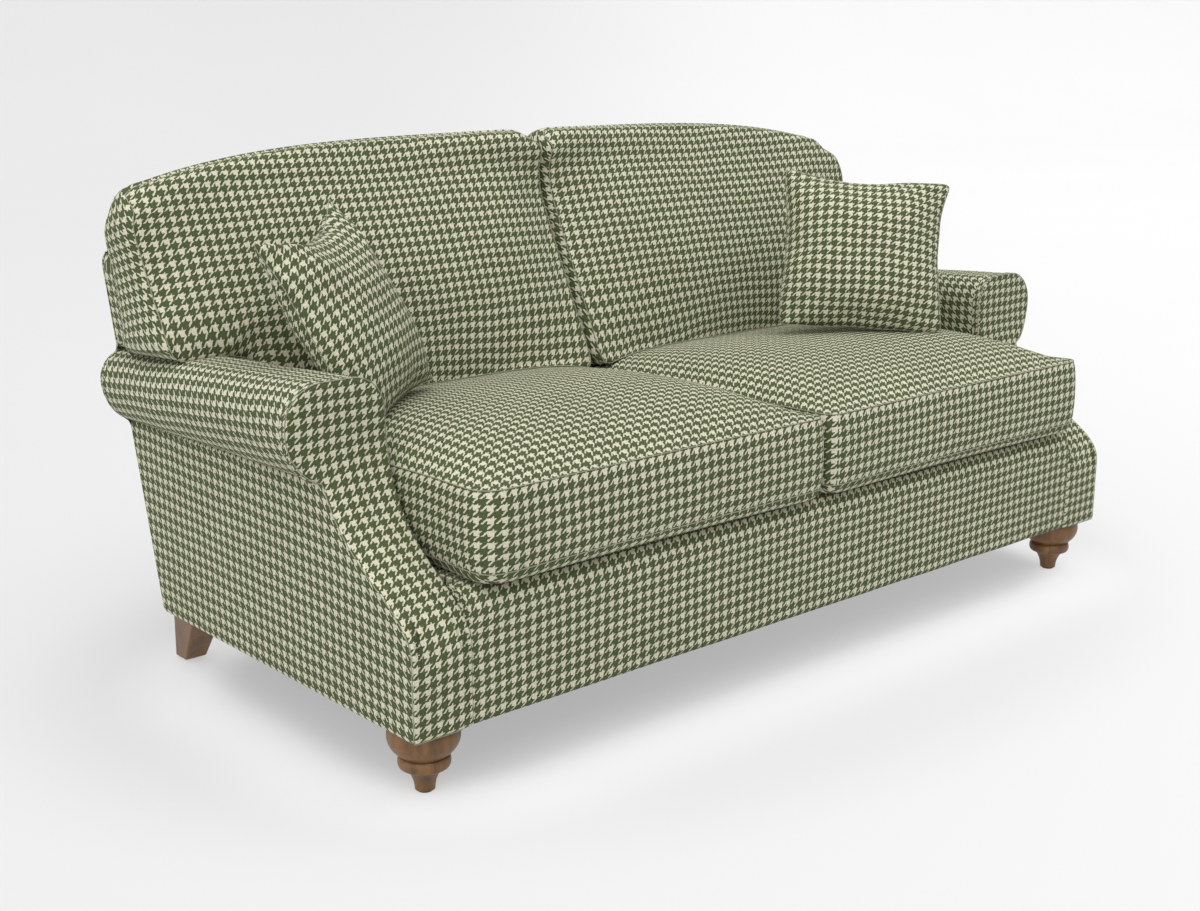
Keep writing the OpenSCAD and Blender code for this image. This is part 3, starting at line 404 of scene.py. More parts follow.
def seam_build(n, b):
    """Twisted yarn, its turns slanting round the welt."""
    uv = n.xyz(n.new("ShaderNodeUVMap", uv_map="UVMap").outputs[0])
    t = n.m("SINE", n.m("ADD", n.m("MULTIPLY", uv[0], 1500.0), n.m("MULTIPLY", uv[1], 2400.0)))
    k = n.m("MULTIPLY_ADD", t, 0.5, 0.5)
    far = n.noise(n.vec(uv[0], 0.0, 0.0), 90.0, 2.0)
    col = n.mix(n.m("MULTIPLY", k, far), lin(160, 162, 136), lin(76, 86, 58))
    n.put(b.inputs["Base Color"], col)
    n.bump(b, t, 0.6, 0.0004)


seam_mat = material("seam_yarn", seam_build, Roughness=0.85, Sheen_Weight=0.3, Specular_IOR_Level=0.2)


def wood_build(dark, light, pore, axis=2):
    """Wood with its grain along an axis: two tones in long streaks, and pores."""

    def build(n, b):
        co = n.xyz(n.new("ShaderNodeTexCoord").outputs["Object"])
        s = [n.m("MULTIPLY", co[i], 7.0 if i == axis else 70.0) for i in range(3)]
        v = n.vec(*s)
        warp = n.noise(v, 0.35, 3.0, 0.5)
        lines = n.noise(v, 1.0, 5.0, 0.65)
        pores = n.noise(n.vec(*[n.m("MULTIPLY", x, 5.0) for x in s]), 1.0, 2.0, 0.6)
        f = n.m("MULTIPLY_ADD", lines, 1.5, n.m("MULTIPLY_ADD", warp, 0.8, -0.62))
        col = n.mix(f, lin(*dark), lin(*light))
        col = n.mix(n.m("MULTIPLY", n.m("GREATER_THAN", pores, 0.62), 0.35), col, lin(*pore))
        n.put(b.inputs["Base Color"], col)
        n.bump(b, lines, 0.25, 0.0004)
        n.put(b.inputs["Roughness"], n.m("MULTIPLY_ADD", lines, 0.25, 0.28))

    return build


foot_wood = material("stained_wood", wood_build((62, 38, 15), (146, 103, 54), (38, 23, 9)),
                     Coat_Weight=0.2, Coat_Roughness=0.3)
beech = material("sawn_timber", wood_build((168, 128, 84), (206, 170, 124), (140, 100, 62), 0),
                 Specular_IOR_Level=0.3)


def cloth_build(base, light, size):
    """A plain weave, one thread and its gap in size."""

    def build(n, b):
        co = n.xyz(n.new("ShaderNodeTexCoord").outputs["Object"])
        w = [n.m("SINE", n.m("MULTIPLY", c, 2 * math.pi / size)) for c in co]
        h = n.m("ADD", n.m("MULTIPLY", w[0], w[1]), n.m("MULTIPLY", w[0], w[2]))
        f = n.noise(n.vec(*co), 55.0, 4.0, 0.7)
        k = n.m("ADD", n.m("MULTIPLY", h, 0.18), f)
        n.put(b.inputs["Base Color"], n.mix(k, lin(*base), lin(*light)))
        n.bump(b, k, 0.4, size * 0.25)

    return build


lining = material("platform_cloth", houndstooth(False, (0.0, 0.0), True), Sheen_Weight=0.08, Specular_IOR_Level=0.2)
dust = material("dust_cloth", cloth_build((20, 20, 20), (44, 44, 44), 0.003), Roughness=0.95)
web_mat = material("webbing", cloth_build((104, 74, 44), (150, 112, 72), 0.003), Roughness=0.85)


def plain_build(base, light, scale):
    """Metal or plastic with a faint mottle in its colour and roughness."""

    def build(n, b):
        f = n.noise(n.new("ShaderNodeTexCoord").outputs["Object"], scale, 4.0, 0.6)
        n.put(b.inputs["Base Color"], n.mix(f, lin(*base), lin(*light)))
        n.put(b.inputs["Roughness"], n.m("MULTIPLY_ADD", f, 0.25, 0.3))

    return build


steel = material("drawn_steel", plain_build((120, 120, 122), (176, 176, 176), 90.0), Metallic=1.0)
plastic = material("moulded_plastic", plain_build((26, 25, 24), (52, 50, 47), 130.0))


# ---------------------------------------------------------------- panels of the fixed upholstery
def pad(shape, outline, mid, place, edge, wall, puff, rings, step, uvf=None, soft=2, flip=False):
    """A padded panel: an outline with a rounded edge and a wall behind it.

    place(a, b, depth) gives the point. edge is the edge's radius, wall the wall's depth and puff the middle's rise;
    uvf turns outline coordinates into the cloth's.
    """
    o = soften(resample(outline, step), soft)
    nrm = out_of(o)
    arcs = np.linspace(0, math.pi / 2, 6)
    rows, uvs = [], []

    def put(q, depth, extra):
        rows.append(np.array([place(a, b, d) for (a, b), d in zip(q, np.broadcast_to(depth, len(q)))]))
        w = q + nrm * extra
        w = w if uvf is None else uvf(w)
        uvs.append(np.r_[w, w[:1]])

    for w in np.linspace(wall, edge, 3)[:-1]:
        put(o, w, edge * (math.pi / 2 - 1) + w)
    for a in arcs:
        put(o - nrm * edge * (1 - math.cos(a)), edge * (1 - math.sin(a)), edge * ((math.pi / 2 - a) - math.cos(a)))
    q0 = o - nrm * edge
    mid = np.array(mid, float)
    for s in np.linspace(1, 0, rings + 1)[1:-1]:
        q = mid + (q0 - mid) * s
        put(q, -puff * (1 - s ** 4), 0)
    ids = shape.grid(np.array(rows), uvs, True, flip)
    c = shape.points([place(mid[0], mid[1], -puff)])
    muv = tuple(mid) if uvf is None else tuple(uvf(mid[None])[0])
    shape.fan(c, muv, ids[-1][::-1], uvs[-1][:-1][::-1], flip)
    return o


def arc(cx, cz, rx, rz, a0, a1, n=16):
    """Points on an ellipse's arc, its angles in degrees."""
    a = np.radians(np.linspace(a0, a1, n))
    return np.c_[cx + rx * np.cos(a), cz + rz * np.sin(a)]


def roll_section(y, inset=0.0):
    """The arm's roll in front view at y, from low on its inside, over the top, to its underside."""
    k, i = along(y), inset
    h, r = ARM_H - FALL * k, ROLL_R - TAPER * k
    m, under = h - r, LOW_Z - UNDER * k
    return np.r_[arc(ARM_IN + IN_R, h - IN_R, IN_R - i, IN_R - i, 180, 90),
                 arc(CORE, m, r - i, r - i, 90, 0),
                 arc(CORE, m, r - i, m - under - i, 0, -78)[1:]]


def inner_x(z):
    """The facing's inner seam: at the border's end below, at the arm's inner face above."""
    return SEAM_X - (SEAM_X - ARM_IN) * smooth(290, 480, z)


def facing(side):
    """The arm's front: a post that curves back and widens into the end of the roll."""
    z = np.linspace(FOOT, HEAD_Z, 40)
    head = roll_section(NECK)[1:]
    keep = ~((head[:, 0] < HALF + 1) & (head[:, 1] < 500))
    out = np.r_[np.c_[inner_x(z), z], head[keep], [[HALF - 1, LOW_Z + 3.5], [HALF - 1, FOOT]]]
    line = np.c_[out[:, 0], s_len(out[:, 1])][::-1]
    edge, post = 7, s_len(345)

    def place(a, t, d):
        # beside the front border the wall runs further back, behind the border's end
        if d > edge and a < 800 and t < post:
            d = edge + (d - edge) * 3
        y, z = np.interp(t, S_LEN, S_TAB[:, 0]), np.interp(t, S_LEN, S_TAB[:, 1])
        e = 4.0
        ty = np.interp(t + e, S_LEN, S_TAB[:, 0]) - np.interp(t - e, S_LEN, S_TAB[:, 0])
        tz = np.interp(t + e, S_LEN, S_TAB[:, 1]) - np.interp(t - e, S_LEN, S_TAB[:, 1])
        k = math.hypot(ty, tz)
        return (side * a, y + tz / k * d, z - ty / k * d)

    s = Shape()
    o = pad(s, line, (850, s_len(505.0)), place, edge=6.5, wall=18, puff=1.5, rings=12, step=6.0, soft=1,
            uvf=lambda w: np.c_[w[:, 0] * side, w[:, 1] + FOOT], flip=side < 0)
    # the welt runs outside and round the roll, not down the inner side
    k = np.array([i for i, (a, b) in enumerate(o) if a > 805 or b > s_len(480)])
    gap = np.where(np.diff(k) > 1)[0]
    k = np.r_[k[gap[0] + 1:], k[:gap[0] + 1]] if len(gap) else k
    s.tube([place(a, b, 2.8) for a, b in (o + out_of(o) * 0.1)[k]], 0.8, False)
    return s


def cover(side):
    """Inside of the arm and roll, from the facing to the back."""
    s = Shape()
    lows = np.array([306, 318, 335, 360, 400, 445, 490, 530.0])
    ks = np.r_[0, 0.004, 0.01, 0.02, 0.035, np.linspace(0.06, 0.94, 34), 0.965, 0.985, 0.995, 1]
    rows, uvs = [], []
    for k in ks:
        y0 = NECK + (ROLL_END - NECK) * k
        sec = roll_section(y0)
        sec = np.r_[np.c_[np.full(len(lows), ARM_IN), lows * (sec[0, 1] / HEAD_Z)], sec]
        sec = resample(sec, 7.0, False)
        t = np.linspace(0, len(sec) - 1, 86)
        sec = np.c_[np.interp(t, np.arange(len(sec)), sec[:, 0]), np.interp(t, np.arange(len(sec)), sec[:, 1])]
        y = (s_y(sec[:, 1]) + 1.0) * (1 - k) + (back_y(0) + sec[:, 1] * math.tan(RAKE) - 1.0) * k
        d = y - s_y(sec[:, 1])
        # drawn in towards the seams at both ends
        pull = 3.0 * np.exp(-d / 9.0) - 1.3 * smooth(0.82, 0.94, k)
        tan = np.gradient(sec, axis=0)
        tan /= np.hypot(*tan.T)[:, None]
        nn = np.c_[-tan[:, 1], tan[:, 0]]
        flare = (inner_x(sec[:, 1]) - ARM_IN) * np.exp(-d / 55.0) * (sec[:, 0] < 800)
        p = sec - nn * pull[:, None]
        p[:, 0] += flare
        rows.append(np.c_[side * p[:, 0], y, p[:, 1]])
        uvs.append(np.c_[side * y, arc_len(sec, False)])
    s.grid(wobble(rows, 1.6, 130.0, 3 + side), uvs, flip=side > 0)
    return s


def outside_arm(side):
    """The flat panel under the roll, from the facing to the outside back."""
    z = np.linspace(FOOT, LOW_Z, 60)
    front = np.c_[s_y(z) + 1.5, z]
    end = LOW_Z - UNDER
    top = [[y, LOW_Z - UNDER * along(y)] for y in np.linspace(front[-1, 0] + 8, back_y(end) - 1, 30)]
    rear = [[back_y(q) - 1, q] for q in np.linspace(end - 1, FOOT, 30)]
    line = np.r_[front, top, rear]
    s = Shape()

    def place(a, b, d):
        return (side * (HALF - d), a, b)

    pad(s, line[::-1], (430, 280), place, edge=5.0, wall=12, puff=0.6, rings=14, step=9.0,
        uvf=lambda w: np.c_[-side * w[:, 0], w[:, 1]], soft=1, flip=side > 0)
    return s


def border():
    """The front rail's upholstery, with its rounded upper edge and rolled lower edge."""
    s = Shape()
    prof = np.r_[arc(12, FOOT + 12, 12, 12, 262, 180, 8), np.c_[np.zeros(16), np.linspace(135, 275, 16)],
                 arc(45, SEAT_H - 45, 45, 45, 180, 90, 12), [[64, SEAT_H], [66, SEAT_H - 6]]]
    L = arc_len(prof, False)
    tan = np.gradient(prof, axis=0)
    tan /= np.hypot(*tan.T)[:, None]
    inward = np.c_[tan[:, 1], -tan[:, 0]]
    end, r, rear = SEAM_X + 0.8, 4.0, 68.0
    # each end turns inwards, then closes towards the back
    cap = [(end - r + r * math.sin(a), r - r * math.cos(a), 0.0) for a in np.radians([0, 20, 40, 60, 78, 90])]
    cap += [(end, r, k) for k in (0.3, 0.65, 1.0)]
    xs = [(-x, d, k) for x, d, k in cap[::-1]] + [(x, 0.0, 0.0) for x in np.linspace(-768, 768, 110)] + cap
    rows, uvs = [], []
    for x, pull, shut in xs:
        p = prof + inward * pull
        back = shut * (rear - p[:, 0])
        p[:, 0] += back
        rows.append(np.c_[np.full(len(p), x), p])
        uvs.append(np.c_[x + math.copysign(1, x) * (pull + back), L + FOOT])
    rows = np.array(rows)
    soft = wobble(rows, 1.2, 150.0, 9)
    soft[:, :, 0] = rows[:, :, 0]
    s.grid(soft, uvs)
    return s


def outside_back():
    """The rear panel, which reaches over the ends of the arms' rolls."""
    ear = roll_section(ROLL_END, -1.6)[16:][::-1]
    ear = ear[ear[:, 0] >= HALF]
    right = np.r_[[[HALF, FOOT], [HALF, 452]], ear, [[HALF, 586], [HALF, 735]],
                  arc(HALF - 30, 735, 30, 30, 10, 90, 6)]
    line = np.r_[right, right[::-1] * [-1, 1]]
    s = Shape()
    pad(s, line, (0, 440), lambda a, b, d: (a, back_y(b) - d, b), edge=6.0, wall=10.0, puff=0.8, rings=16, step=8.0,
        uvf=lambda w: np.c_[-w[:, 0], w[:, 1]], soft=1)
    return s


def inside_back():
    """The padding behind the back cushions, with a wing over each arm."""
    wing, x = top_z(back_y(ARM_H - FALL, BACK_PAD)) + 1, ARM_IN - 4
    right = np.r_[[[x, 312], [x, wing - 5], [x + 12, wing], [HALF, wing], [HALF, 733]],
                  arc(HALF - 32, 733, 32, 32, 10, 90, 6)]
    line = np.r_[right, right[::-1] * [-1, 1]]
    s = Shape()
    pad(s, line[::-1], (0, 640), lambda a, b, d: (a, back_y(b) - BACK_PAD + d, b), edge=14.0, wall=67.0, puff=1.0,
        rings=14, step=10.0)
    return s


# ---------------------------------------------------------------- cushions
def frame_map(org, ea, eb, n):
    """Turns a cushion's own coordinates, in its plane and out of it, into points."""
    org, ea, eb, n = (np.array(v, float) for v in (org, ea, eb, n))
    return lambda q, c: org + q[:, :1] * ea + q[:, 1:2] * eb + np.asarray(c, float).reshape(-1, 1) * n


def laid(points, mid, ways):
    """Cloth coordinates of rings of points: along each ray by the true length of the cloth over the crown."""
    run = np.cumsum([np.sqrt(((q - p) ** 2).sum(1)) for p, q in zip(points, points[1:])], axis=0)
    rows = [mid + ways * r[:, None] for r in run]
    return [np.r_[w, w[:1]] for w in rows]


def boxed(outline, mid, half_t, top, low, bulge, mp, side, side_mat, soft=3, over=None, fore=None):
    """A boxed cushion: a crowned panel, its seam, a bulged border, the other seam and the far panel.

    half_t is half the border's width, top(points, k) the crown at the share k of the way out, low the far panel's
    depth, bulge(points) the border's, and mp(points, height) the cushion's place. over(outline) gives how far the
    panel rolls over the edge, out and back, and fore(points) how far the front seam stands out of its plane.
    """
    rings, welt = 28, 0.9
    s = Shape()
    flip = side < 0
    o = soften(resample(outline, 10.0), soft)
    nrm = out_of(o)
    n = len(o)
    mid = np.array(mid, float)
    per = arc_len(o)
    # where the panel rolls over the edge, its seam lies further back and a little further out
    lift, wrap = over(o) if over else (np.zeros(n), np.zeros(n))
    if fore is None:
        fore = lambda q: np.zeros(len(q))
    of = o + nrm * lift[:, None]
    reach = np.hypot(*(of - mid).T)
    ways = (of - mid) / reach[:, None]
    c0 = mp(mid[None], [half_t + top(mid[None], 0.0)[0] + fore(mid[None])[0]])
    pts = []
    shares = np.linspace(0, 1, rings + 1)[1:] ** 0.85
    for k in shares:
        q = mid + (of - mid) * k
        x = np.clip(1 - (1 - k) * reach / 75.0, 0, 1)
        pts.append(mp(q, half_t + top(q, k) + fore(q) - wrap * (1 - np.sqrt(1 - x * x))))
    uv = laid([np.repeat(c0, n, 0)] + pts, mid, ways)
    b0 = len(pts) - 1
    # the border, with a crease beside each seam
    band, bul, rim = [], bulge(o), fore(of)
    for x in np.linspace(-1, 1, 11)[1:-1]:
        g = (1 - x) / 2
        q = o + nrm * (lift * g + bul * (1 - x * x) ** 0.6 - 1.2 * np.exp(-(1 - abs(x)) * half_t / 3.0))[:, None]
        c = -x * half_t + (rim - wrap) * g
        pts.append(mp(q, c))
        band.append(np.c_[per, np.r_[c, c[:1]]])
    b1 = len(pts) - 1
    way = np.hypot(*(o - mid).T)
    for k in (1, 0.995, 0.988, 0.978, 0.965, 0.95, 0.93, 0.9, 0.85, 0.75, 0.6, 0.4, 0.2):
        q = mid + (o - mid) * k
        x = np.clip(1 - (1 - k) * way / 24.0, 0, 1)
        pts.append(mp(q, -half_t - low * np.sqrt(1 - x * x)))
    pts = np.array(pts)
    # puckers along the seam
    near = shares[:, None]
    ripple = wobble(pts[:b0 + 1], 1.0, 26.0, 5 + side) - pts[:b0 + 1]
    pts[:b0 + 1] += ripple * (2.6 * np.exp(-((near - 0.94) / 0.05) ** 2) + 0.4)[:, :, None] * (near < 1)[:, :, None]
    ids = np.arange(pts.shape[0] * n).reshape(pts.shape[0], n)
    s.points(pts)
    first = np.c_[per, np.r_[half_t + rim - wrap, half_t + rim[0] - wrap[0]]]
    last = np.c_[per, np.full(n + 1, -half_t)]
    hi_uv, band = [[w * [side, 1] for w in g] for g in (uv, [first] + band + [last])]
    s.strip(ids[:b0 + 1], hi_uv, True, 0, flip)
    s.strip(ids[b0:b1 + 2], band, True, side_mat, flip)
    c1 = mp(mid[None], [-half_t - low])
    lo_uv = [np.r_[o, o[:1]]] + laid(list(pts[b1 + 1:]), o, -ways)
    lo_uv = [w * [side, -1] - [0, half_t] for w in lo_uv]
    s.strip(ids[b1 + 1:], lo_uv, True, 0, flip)
    s.fan(s.points(c0), tuple(mid * [side, 1]), ids[0], hi_uv[0][:-1], flip)
    s.fan(s.points(c1), tuple(mid * [side, -1] - [0, half_t]), ids[-1][::-1], lo_uv[-1][:-1][::-1], flip)
    s.tube(mp(of + nrm * 0.2, half_t + rim + 0.3 - wrap), welt, mat=2)
    s.tube(mp(o + nrm * 0.2, np.full(n, -half_t - 0.3)), welt, mat=2)
    return s


def straight(a, b, draw, n=14):
    """A side of an outline, its middle drawn to the left by a depth."""
    a, b = np.array(a, float), np.array(b, float)
    t = (b - a) / np.hypot(*(b - a))
    w = np.array([-t[1], t[0]])
    k = np.linspace(0, 1, n)[:, None]
    return a + (b - a) * k + w * draw * 4 * k * (1 - k)


tb, tn = np.array([0, math.cos(TILT), -math.sin(TILT)]), np.array([0, math.sin(TILT), math.cos(TILT)])
SEAT_Y = 64  # where the seat cushions' plane begins
SEAT_ORG = np.array([0, SEAT_Y, SEAT_H]) + tn * (SEAT_T + 21.3)
SEAT_X0, SEAT_X1 = 8, 763  # their inner and outer side, and below their front and rear in that plane
SEAT_Y0, SEAT_Y1 = -(14 + SEAT_Y) - 1.7, (back_y(SEAT_H, BACK_PAD) - SEAT_Y) - 14
CROWN = 60  # how far the top stands above the seam


def seat_crown(x, b):
    """The height of a seat cushion's top over its seam."""
    half = (SEAT_X0 + SEAT_X1) / 2
    X, Y = (x - half) / half, b - 236.0
    Y = np.where(Y < 0, Y / (SEAT_Y0 - 238.0), Y / (SEAT_Y1 - 234.0))
    f = np.clip(1 - np.abs(X) ** np.where(X > 0, 5.5, 4.0), 0, 1) ** 0.7
    return CROWN * f * np.where(b < 236, np.clip(1 - np.abs(Y) ** 2.4, 0, 1) ** 0.85, np.clip(1 - Y * Y, 0, 1))


def rest_on_seat(p, gap):
    """Lifts points, in mm, that would sink into a seat cushion."""
    b = (p[:, 1] - SEAT_ORG[1]) / math.cos(TILT)
    for _ in range(2):
        h = SEAT_T + seat_crown(np.abs(p[:, 0]), b) + gap
        b = (p[:, 1] - SEAT_ORG[1] - h * math.sin(TILT)) / math.cos(TILT)
    z = SEAT_ORG[2] - b * math.sin(TILT) + h * math.cos(TILT)
    over = (np.abs(p[:, 0]) < ARM_IN) & (b > SEAT_Y0) & (b < SEAT_Y1 + 4)
    p[:, 2] = np.where(over, np.maximum(p[:, 2], z), p[:, 2])
    return p


def seat_cushion(side):
    """A cushion whose front corner reaches past the arm's facing by e and is rounded by q."""
    x0, x1, y0, y1 = SEAT_X0, SEAT_X1, SEAT_Y0, SEAT_Y1
    e, q = (6, 36) if side < 0 else (19, 22)
    line = np.r_[straight([x0 + 16, y0], [x1 + e - q, y0], 3), arc(x1 + e - q, y0 + q, q, q, -85, -5, 9),
                 straight([x1 + e, y0 + q + 6], [x1, y0 + 128], 0, 5), straight([x1, y0 + 150], [x1, y1 - 16], 4),
                 arc(x1 - 16, y1 - 16, 16, 16, 0, 90, 5), straight([x1 - 16, y1], [x0 + 16, y1], 4),
                 arc(x0 + 16, y1 - 16, 16, 16, 90, 180, 5), straight([x0, y1 - 16], [x0, y0 + 16], 5),
                 arc(x0 + 16, y0 + 16, 16, 16, 180, 270, 5)]
    cx, cy = (x0 + x1) / 2, (y0 + y1) / 2

    def top(p, k):
        return seat_crown(p[:, 0], p[:, 1]) * (1 - k ** 14)

    def bulge(p):
        return np.full(len(p), 6.0)

    base = frame_map(SEAT_ORG, [1, 0, 0], tb, tn)

    def mp(qq, c):
        p = base(qq, c)
        p[:, 0] *= side
        return p

    return boxed(line, (cx, cy + 20), SEAT_T, top, 20.5, bulge, mp, side, side_mat=0)


rb, rn = np.array([0, math.sin(RAKE), math.cos(RAKE)]), np.array([0, -math.cos(RAKE), math.sin(RAKE)])
BASE_Z = 458  # where the back cushions' plane begins
BACK_ORG = np.array([0, back_y(BASE_Z, BACK_PAD), BASE_Z]) + rn * (BACK_T + 18.3)


def lean_up(z):
    """A height as a length up the back cushions' plane."""
    return (z - BACK_ORG[2]) / math.cos(RAKE)


# the back cushions' ears rest on the falling arms
ARM_SLOPE = FALL / (ROLL_END - NECK)
EAR_UP = math.cos(RAKE) + ARM_SLOPE * math.sin(RAKE)
EAR_SLOPE = math.tan(RAKE - math.atan(ARM_SLOPE))
EAR_LOW = (top_z(BACK_ORG[1]) + 0.6 - BACK_ORG[2]) / EAR_UP
BACK_LOW = 20.0  # the back cushions' lower edge in their plane


def tall(x):
    """A back cushion's upper edge in its plane, which falls outwards."""
    return lean_up(950) - 30 - 66 / math.cos(RAKE) * (x / HALF) ** 4


def back_cushion(side):
    """A cushion between the arms up to x1, its ear over the arm up to x2, its upper outer corner rounded by q."""
    x0, x1 = 14, 756
    x2, q = (925, 62) if side < 0 else (909, 88)
    xs = np.linspace(x2 - q, x0 + 36, 30)
    yt, yi, low = tall(x2 - q), tall(x0 + 36), BACK_LOW
    # from the lower inner corner outwards, up beside the arm, round its roll, over it, up, and back along the top
    rise, bend = IN_R / EAR_UP, np.radians([165, 150, 135, 120, 105])
    round_arm = np.c_[ARM_IN + IN_R + 74 * np.cos(bend),
                      EAR_LOW - rise * (1 - np.sin(bend)) + 4 * np.sin(2 * bend - math.pi)]
    line = np.r_[straight([x0 + 10, low], [x1 - 10, low], 0),
                 arc(x1 - 10, low + 10, 10, 10, -70, -10, 3),
                 straight([x1, low + 16], [x1, EAR_LOW - rise], 0, 5),
                 round_arm,
                 straight([ARM_IN + IN_R, EAR_LOW], [x2 - 20, EAR_LOW], 0, 5),
                 arc(x2 - 20, EAR_LOW + 20, 20, 20, -80, 0, 5),
                 straight([x2, EAR_LOW + 30], [x2, yt - q], 6, 6),
                 arc(x2 - q, yt - q, q, q, 8, 84, 8),
                 np.c_[xs, tall(xs)],
                 arc(x0 + 36, yi - 36, 36, 36, 98, 176, 7),
                 straight([x0, yi - 48], [x0, low + 16], 0, 8),
                 arc(x0 + 10, low + 10, 10, 10, 190, 260, 3)]
    cx = (x0 + x2) / 2
    cy = (low + tall(x0)) / 2

    def lean(p):
        """How far a point follows the falling arm: only low on the ear."""
        return smooth(x1 - 4, x1 + 40, p[:, 0]) * (1 - smooth(EAR_LOW, EAR_LOW + 60, p[:, 1]))

    def fore(p):
        """The front seam leans more than the back: shallow near the top, deep where it sits."""
        x, b = p[:, 0], p[:, 1]
        inner = np.interp(b, [-28, 49, 135, 240, 349, 395, 434], [62, 37, 11, -12, -33, -25, 0])
        outer = np.interp(b, [139, 170, 207, 260, 307, 402, 440], [36, 20, 2, -12, -18, -16, 0])
        mid = np.interp(b, [0, 60, 150, 300, 400], [24, 20, 0, 0, -8])
        wi, wo = 1 - smooth(x0, x0 + 300, x), smooth(x1 - 60, x2 - 10, x)
        return inner * wi + outer * wo + mid * (1 - wi - wo)

    def top(p, k):
        """The crown, from the face's measured depth at each height."""
        X = (p[:, 0] - cx) / ((x2 - x0) / 2)
        face = np.interp(p[:, 1], [0, 40, 79, 115, 151, 193, 236, 275, 313, 358, 403, 430],
                         [86, 96, 102, 104, 104, 100, 93, 84, 73, 58.5, 42, 39])
        return (face - BACK_T - fore(p)) * np.clip(1 - np.abs(X) ** 3.6, 0, 1) ** 0.8 * (1 - k ** 14)

    def crest(p):
        """1 along the upper edge, 0 down the sides."""
        return smooth(yt - 42, yt - 6, p[:, 1]) * smooth(-4, 30, x2 - p[:, 0]) * smooth(-2, 26, p[:, 0] - x0)

    def bulge(p):
        """The border is flat where it lies on the seat and on the arm."""
        b = 12 + 2 * crest(p)
        b = b * np.maximum(smooth(low + 4, low + 40, p[:, 1]), smooth(x0 + 30, x0 + 8, p[:, 0]))
        on_arm = (p[:, 0] > x1 - 2) & (p[:, 0] < x2 - 4) & (p[:, 1] < EAR_LOW + 30)
        return np.where(on_arm, 0.5, b)

    base = frame_map(BACK_ORG, [1, 0, 0], rb, rn)

    def mp(qq, c):
        c = np.broadcast_to(np.asarray(c, float), (len(qq),))
        q2 = qq.copy()
        q2[:, 1] -= lean(qq) * EAR_SLOPE * c
        # its lower front hangs down to the seat
        sag = (1 - smooth(low, low + 130, qq[:, 1])) * (1 - smooth(x1 - 70, x1 - 5, qq[:, 0]))
        q2[:, 1] -= 34 * sag * np.clip((c + BACK_T) / (2 * BACK_T), 0, 1.4)
        p = base(q2, c)
        p[:, 0] *= side
        return rest_on_seat(p, 1.5)

    def over(p):
        w = crest(p)
        return 20 * w, 48 * w

    return boxed(line, (430, cy + 40), BACK_T, top, 17.5, bulge, mp, side, side_mat=1, soft=2, over=over, fore=fore)


SC_L, SC_T = 345.0, 140.0  # a scatter cushion's side and thickness


def scatter(mid, turn, lean, roll, seed, draws, tips, blunt):
    """A square cushion of two panels.

    draws says how far each side is drawn in, from the bottom anticlockwise, tips shifts each corner, and blunt is how
    often the outline is softened.
    """
    tu, le, ro = (math.radians(v) for v in (turn, lean, roll))
    nn = np.array([math.sin(tu) * math.cos(le), -math.cos(tu) * math.cos(le), math.sin(le)])
    e = np.array([math.cos(tu), math.sin(tu), 0])
    u = np.cross(nn, e)
    ea, eb = math.cos(ro) * e + math.sin(ro) * u, math.cos(ro) * u - math.sin(ro) * e
    h = SC_L / 2
    n = 44
    line = []
    for k, (c, d) in enumerate(((0, -1), (1, 0), (0, 1), (-1, 0))):
        t0, t1 = np.array(tips[k], float), np.array(tips[(k + 1) % 4], float)
        for i in range(n):
            t = i / n
            a, b = -h + SC_L * t, h - draws[k] * (4 * t * (1 - t)) ** 1.25
            g0, g1 = max(0, 1 - t * 3.2) ** 2, max(0, 1 - (1 - t) * 3.2) ** 2
            dx, dy = t0 * g0 + t1 * g1
            line.append([c * b - d * a + dx, d * b + c * a + dy, (2 * t - 1) ** 2, abs(2 * t - 1) ** 7])
    line = np.array(line)
    o, w, ear = soften(line[:, :2], blunt), line[:, 2], line[:, 3]
    rng = np.random.default_rng(seed)
    pleat = rng.normal(0, 1, len(o))
    pleat = sum(np.roll(pleat, j) for j in range(-2, 3)) / 2.2
    mp = frame_map(mid, ea, eb, nn)
    r = np.linspace(0, 1, 31)[1:] ** 0.8
    s = Shape()

    def height(k, side):
        f = (1 - k ** 2.6) ** 0.66
        pinch = 1 - 0.42 * k * k * w - 0.35 * ear * smooth(0.55, 0.95, k)
        return side * (SC_T / 2 * f * pinch + (2.4 * pleat + 1.5) * np.exp(-((k - 0.91) / 0.08) ** 2) * (k < 1))

    rows = [mp(o * k, height(k, 1) if k < 1 else np.zeros(len(o))) for k in r]
    rows += [mp(o * k, height(k, -1)) for k in r[::-1][1:]]
    m, n = len(r), len(o)
    ends = wobble(mp(np.zeros((2, 2)), [SC_T / 2, -SC_T / 2]), 4.0, 80.0, seed)
    rows = rest_on_seat(wobble(np.array(rows), 4.0, 80.0, seed).reshape(-1, 3), 1.0).reshape(-1, n, 3)
    ways = o / np.hypot(*o.T)[:, None]
    uv = laid([np.repeat(ends[:1], n, 0)] + list(rows[:m]), np.zeros(2), ways)
    back = laid([np.repeat(ends[1:], n, 0)] + list(rows[m - 1:][::-1]), np.zeros(2), ways)[::-1]
    back = [w * [-1, 1] for w in back]
    ids = s.points(rows) + np.arange(rows.shape[0] * n).reshape(rows.shape[0], n)
    s.strip(ids[:m], uv, True, 0)
    s.strip(ids[m - 1:], back, True, 0)
    s.fan(s.points(ends[:1]), (0, 0), ids[0], uv[0][:-1])
    s.fan(s.points(ends[1:]), (0, 0), ids[-1][::-1], back[-1][:-1][::-1])
    s.tube(rows[m - 1], 0.8)
    return s


# ---------------------------------------------------------------- feet
FRONT_AT = (837, 66)  # the front feet's axis


